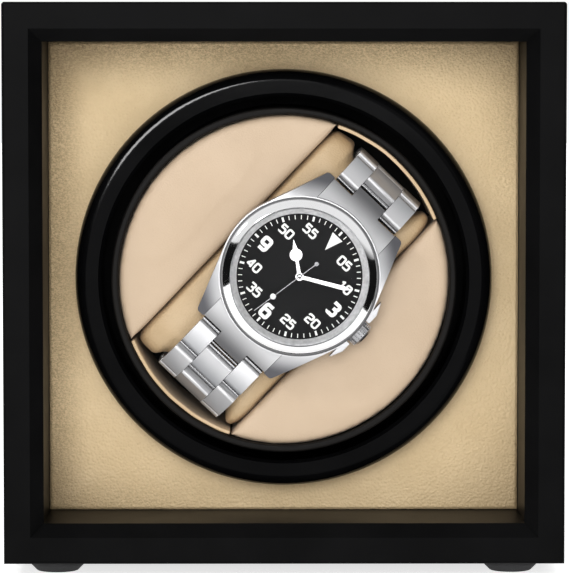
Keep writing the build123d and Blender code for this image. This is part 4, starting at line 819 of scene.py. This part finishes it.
def makeKnuckle(here, there, low, high, width, share=0.5):  # share: how far across the gap it lies
    first, run, start, end = gapBetween(here, there)
    tips = [point for point in here if (point - first).dot(run) > start - knuckle["endZone"]]
    tips += [point for point in there if (point - first).dot(run) < end + knuckle["endZone"]]
    centre = middle(tips)
    centre += run * (start + (end - start) * share - (centre - first).dot(run))
    out = Vector((0, run.z, -run.y))
    if out.dot(centre - Vector((0, 0, loopDepth() / mm))) < 0:
        out = -out
    centre -= out * knuckle["sink"]
    width = min(width, end - start - knuckle["clear"])
    bpy.ops.mesh.primitive_cube_add(size=1)
    bar = newPiece("knuckle")
    startEdit(bar)
    bpy.ops.mesh.select_all(action="SELECT")
    bpy.ops.transform.resize(value=(high - low - knuckle["play"], width, knuckle["thick"]))
    pick(bar, "edges", lambda edge: abs((edge.verts[0].co - edge.verts[1].co).x) > 1)
    bpy.ops.mesh.bevel(offset=min(knuckle["round"], knuckle["roundShare"] * width), segments=3)
    endEdit()
    turn = Matrix((Vector((1, 0, 0)), run, Vector((1, 0, 0)).cross(run))).transposed().to_4x4()
    turn.translation = Vector(((low + high) / 2, centre.y, centre.z))
    bar.data.transform(turn)
    return bar


def makeKnuckles():
    bars = []
    outer, centre = looseParts("bracelet_outer_links"), looseParts("bracelet_centre_links")
    endLinks = looseParts("watch_end_links")
    bandLow = min(point.x for point in centre[0]) - knuckle["bandPlay"]
    bandHigh = max(point.x for point in centre[0]) + knuckle["bandPlay"]
    left = [part for part in outer if middle(part).x < bandLow]
    right = [part for part in outer if middle(part).x > bandHigh]
    depth = loopDepth() / mm
    for column in (left, right, centre):
        low, high = min(point.x for point in column[0]), max(point.x for point in column[0])
        lowest, highest = low - knuckle["columnPlay"], high + knuckle["columnPlay"]
        inBand = column is centre
        solids = list(column)
        for part in endLinks:  # the strip of each end link that carries this column on
            solids.append([point for point in part if lowest < point.x < highest
                           and (bandLow < point.x < bandHigh) == inBand])
        solids.sort(key=lambda part: math.atan2(middle(part).z - depth, middle(part).y))
        for here, there in zip(solids, solids[1:] + solids[:1]):
            first, run, start, end = gapBetween(here, there)
            gap = end - start
            if gap < knuckle["gaps"][0] or gap > knuckle["gaps"][1]:
                continue
            if gap < knuckle["wide"]:
                bars.append(makeKnuckle(here, there, low, high, knuckle["width"]))
                continue
            side = 0 if len(here) != len(column[0]) else 1  # whether the end link comes first
            wide = knuckle["wideShare"] * gap
            bars.append(makeKnuckle(here, there, low, high, knuckle["thin"], knuckle["thinAt"][side]))
            bars.append(makeKnuckle(here, there, low, high, wide, knuckle["wideAt"][side]))
    piece = joinAll(bars, "linkKnuckles")
    piece.data.transform(Matrix.Scale(mm, 4))
    putInPlace(piece, slotPlace, "cushion_with_watch", "steel", 40)
    print("knuckles:", len(bars))


makeLinks("bracelet_outer_links", "outerLinks", "linkSteel")
makeLinks("bracelet_centre_links", "centreLinks", "centreSteel")
makeKnuckles()

# printed dial: minute marks, numerals and the mark at twelve
smallNumeral = (11.9, 4.0, 2.65, 0.54)  # radius, width, height, stroke of the small numerals
dial = {
    "print": 0.04,  # all in mm
    "markEnd": 15.65, "markStart": 14.6, "markWidth": 0.22, "fifthWidth": 0.55, "fifthStart": 14.45,
    "arrow": (9.35, 14.0, 3.4),
    "digitGap": 0.12,  # share of the stroke
    # minutes, text, radius, width, height, stroke
    "numerals": [
        (5, "05", *smallNumeral), (10, "10", 11.9, 3.8, 2.65, 0.54), (15, "3", 12.05, 2.95, 4.0, 0.94),
        (20, "20", *smallNumeral), (25, "25", *smallNumeral), (30, "6", 12.15, 3.0, 4.1, 0.94),
        (35, "35", *smallNumeral), (40, "40", *smallNumeral), (45, "9", 12.05, 2.95, 4.0, 0.94),
        (50, "50", *smallNumeral), (55, "55", *smallNumeral),
    ],
}
strokes = {  # each digit in a cell one wide and one high
    "0": [[(0.5, 0), (1, 0), (1, 0.5), (1, 1), (0.5, 1), (0, 1), (0, 0.5), (0, 0), (0.5, 0)]],
    "1": [[(0.15, 0.78), (0.6, 1), (0.6, 0.9), (0.6, 0)]],
    "2": [[(0, 0.8), (0, 1), (0.5, 1), (1, 1), (1, 0.52), (0.5, 0.5), (0, 0.48), (0, 0.1), (0, 0),
           (0.1, 0), (1, 0)]],
    "3": [[(0, 1), (0.5, 1), (1, 1), (1, 0.53), (0.35, 0.53)],
          [(0.6, 0.53), (1, 0.53), (1, 0), (0.5, 0), (0, 0), (0, 0.12)]],
    "4": [[(0.78, 0), (0.78, 0.9), (0.78, 1), (0.7, 0.95), (0.05, 0.32), (0, 0.26), (0.1, 0.24), (1, 0.24)]],
    "5": [[(0.95, 1), (0.12, 1), (0.06, 1), (0.05, 0.9), (0, 0.57), (0.3, 0.6), (1, 0.62), (1, 0), (0.5, 0),
           (0, 0), (0, 0.1)]],
    "6": [[(0.95, 1), (0.5, 1), (0, 1), (0, 0.5), (0, 0), (0.5, 0), (1, 0), (1, 0.3), (1, 0.6), (0.5, 0.6),
           (0, 0.55)]],
    "9": [[(0.05, 0), (0.5, 0), (1, 0), (1, 0.5), (1, 1), (0.5, 1), (0, 1), (0, 0.7), (0, 0.4), (0.5, 0.4),
           (1, 0.45)]],
}


def clockPoint(minutes, radius):
    angle = math.radians(90 - 6 * minutes)
    return Vector((radius * math.cos(angle), radius * math.sin(angle), 0))


def flatten(piece, height, thickness):  # a printed layer of even thickness at that height
    low = min(vertex.co.z for vertex in piece.data.vertices)
    high = max(vertex.co.z for vertex in piece.data.vertices)
    for vertex in piece.data.vertices:
        vertex.co.z = height + thickness * (vertex.co.z - low) / (high - low)


def makeDigit(digit, left, bottom, width, height, stroke):
    data = bpy.data.curves.new("digit", "CURVE")
    data.dimensions = "3D"
    data.bevel_depth = stroke / 2
    data.bevel_resolution = 2
    data.resolution_u = 5
    data.use_fill_caps = True
    rim = stroke / 2
    for line in strokes[digit]:
        spline = data.splines.new("NURBS")
        spline.points.add(len(line) - 1)
        for point, (x, y) in zip(spline.points, line):
            point.co = (left + rim + x * (width - stroke), bottom + rim + y * (height - stroke), 0, 1)
        spline.order_u = 3
        spline.use_endpoint_u = True
    piece = bpy.data.objects.new("digit", data)
    bpy.context.collection.objects.link(piece)
    showOnly(piece)
    bpy.ops.object.convert(target="MESH")
    return bpy.context.active_object


def makeMark(minutes, start, end, width):
    bpy.ops.mesh.primitive_cube_add(size=1)
    mark = newPiece("mark")
    startEdit(mark)
    bpy.ops.mesh.select_all(action="SELECT")
    bpy.ops.transform.resize(value=(width, end - start, 1))
    bpy.ops.transform.translate(value=(0, (start + end) / 2, 0))
    endEdit()
    mark.data.transform(Matrix.Rotation(math.radians(-6 * minutes), 4, "Z"))
    return mark


def makeDial():
    pieces = []
    for minutes in range(60):
        fifth = minutes % 5 == 0
        start = dial["fifthStart"] if fifth else dial["markStart"]
        width = dial["fifthWidth"] if fifth else dial["markWidth"]
        pieces.append(makeMark(minutes, start, dial["markEnd"], width))
    tip, base, width = dial["arrow"]
    bpy.ops.mesh.primitive_cylinder_add(vertices=3, radius=1, depth=1)
    arrow = newPiece("arrow")
    for vertex in arrow.data.vertices:
        high = vertex.co.y > 0
        vertex.co.x, vertex.co.y = (0, tip) if high else (math.copysign(width / 2, vertex.co.x), base)
    pieces.append(arrow)
    for minutes, text, radius, width, height, stroke in dial["numerals"]:
        centre = clockPoint(minutes, radius)
        gap = dial["digitGap"] * stroke
        each = (width - gap * (len(text) - 1)) / len(text)
        for place, digit in enumerate(text):
            left = centre.x - width / 2 + place * (each + gap)
            pieces.append(makeDigit(digit, left, centre.y - height / 2, each, height, stroke))
    for piece in pieces:
        flatten(piece, topOf("watch_dial") / mm, dial["print"])
    piece = joinAll(pieces, "dialPrint")
    mergeAll(piece)
    piece.data.transform(Matrix.Scale(mm, 4))
    putInPlace(piece, watchPlace, "cushion_with_watch", "hand_white", 30)


makeDial()
print("dial is printed")

# white inlays on the hands, and the cap over their post
hands = {
    "lift": 0.035, "discMore": 1.3,  # an inlay's thickness in mm, and how much thicker a disc is
    "hour": {"node": "watch_hour_hand", "joint": "hour_hand_spin", "body": "hour_hand",
             "outline": [(-0.27, 1.3), (0.27, 1.3), (0.2, 4.4), (0.5, 6.9), (0, 9.1), (-0.5, 6.9),
                         (-0.2, 4.4)],
             "disc": (5.6, 1.36)},
    "minute": {"node": "watch_minute_hand", "joint": "minute_hand_spin", "body": "minute_hand",
               "outline": [(-0.28, 1.5), (0.28, 1.5), (0.37, 11.5), (0, 13.3), (-0.37, 11.5)],
               "disc": None},
    "second": {"node": "watch_second_hand", "joint": "second_hand_spin", "body": "second_hand",
               "outline": None, "disc": (8.4, 0.66)},
}


def handAngle(node):  # from where the far end of the hand lies
    far = max(cornersOf(node, watchPlace), key=radiusOf)
    return math.atan2(far.y, far.x) - math.pi / 2


def makeInlay(name, hand):
    pieces = []
    if hand["outline"]:
        bpy.ops.mesh.primitive_circle_add(vertices=len(hand["outline"]), radius=1, fill_type="NGON")
        blade = newPiece("blade")
        for vertex, (x, y) in zip(blade.data.vertices, hand["outline"]):
            vertex.co = (x, y, 0)
        pieces.append(blade)
    if hand["disc"]:
        along, radius = hand["disc"]
        bpy.ops.mesh.primitive_circle_add(vertices=40, radius=radius, fill_type="NGON")
        disc = newPiece("disc")
        disc.data.transform(Matrix.Translation((0, along, 0)))
        pieces.append(disc)
    for piece in pieces:
        startEdit(piece)
        bpy.ops.mesh.select_all(action="SELECT")
        bpy.ops.mesh.normals_make_consistent(inside=False)
        bpy.ops.mesh.extrude_region_move(TRANSFORM_OT_translate={"value": (0, 0, 1)})
        bpy.ops.mesh.select_all(action="SELECT")
        bpy.ops.mesh.normals_make_consistent(inside=False)
        endEdit()
        more = hands["discMore"] if piece.name == "disc" else 1
        flatten(piece, topOf(hand["node"]) / mm, hands["lift"] * more)
    piece = joinAll(pieces, name + "HandInlay")
    piece.data.transform(Matrix.Rotation(handAngle(hand["node"]), 4, "Z"))
    piece.data.transform(Matrix.Scale(mm, 4))
    putInPlace(piece, watchPlace, hand["body"], "hand_white", 30)


for name in ("hour", "minute", "second"):
    makeInlay(name, hands[name])

cap = {"radius": 0.62, "height": 0.16, "rim": 0.16, "rise": 0.08, "dimple": 0.12, "dip": 0.05}  # in mm


def makeHandCap():
    bpy.ops.mesh.primitive_cylinder_add(vertices=48, radius=cap["radius"], depth=cap["height"])
    piece = newPiece("handCap")
    startEdit(piece)
    pick(piece, "faces", lambda face: face.normal.z > 0.9)
    bpy.ops.mesh.inset(thickness=cap["rim"])
    bpy.ops.transform.translate(value=(0, 0, cap["rise"]))
    bpy.ops.mesh.inset(thickness=cap["dimple"])
    bpy.ops.transform.translate(value=(0, 0, -cap["dip"]))
    endEdit()
    low = min(vertex.co.z for vertex in piece.data.vertices)
    piece.data.transform(Matrix.Translation((0, 0, topOf("watch_second_hand") / mm - low)))
    piece.data.transform(Matrix.Scale(mm, 4))
    putInPlace(piece, watchPlace, "second_hand", "watch_polish", 30)


makeHandCap()
print("hands are finished")
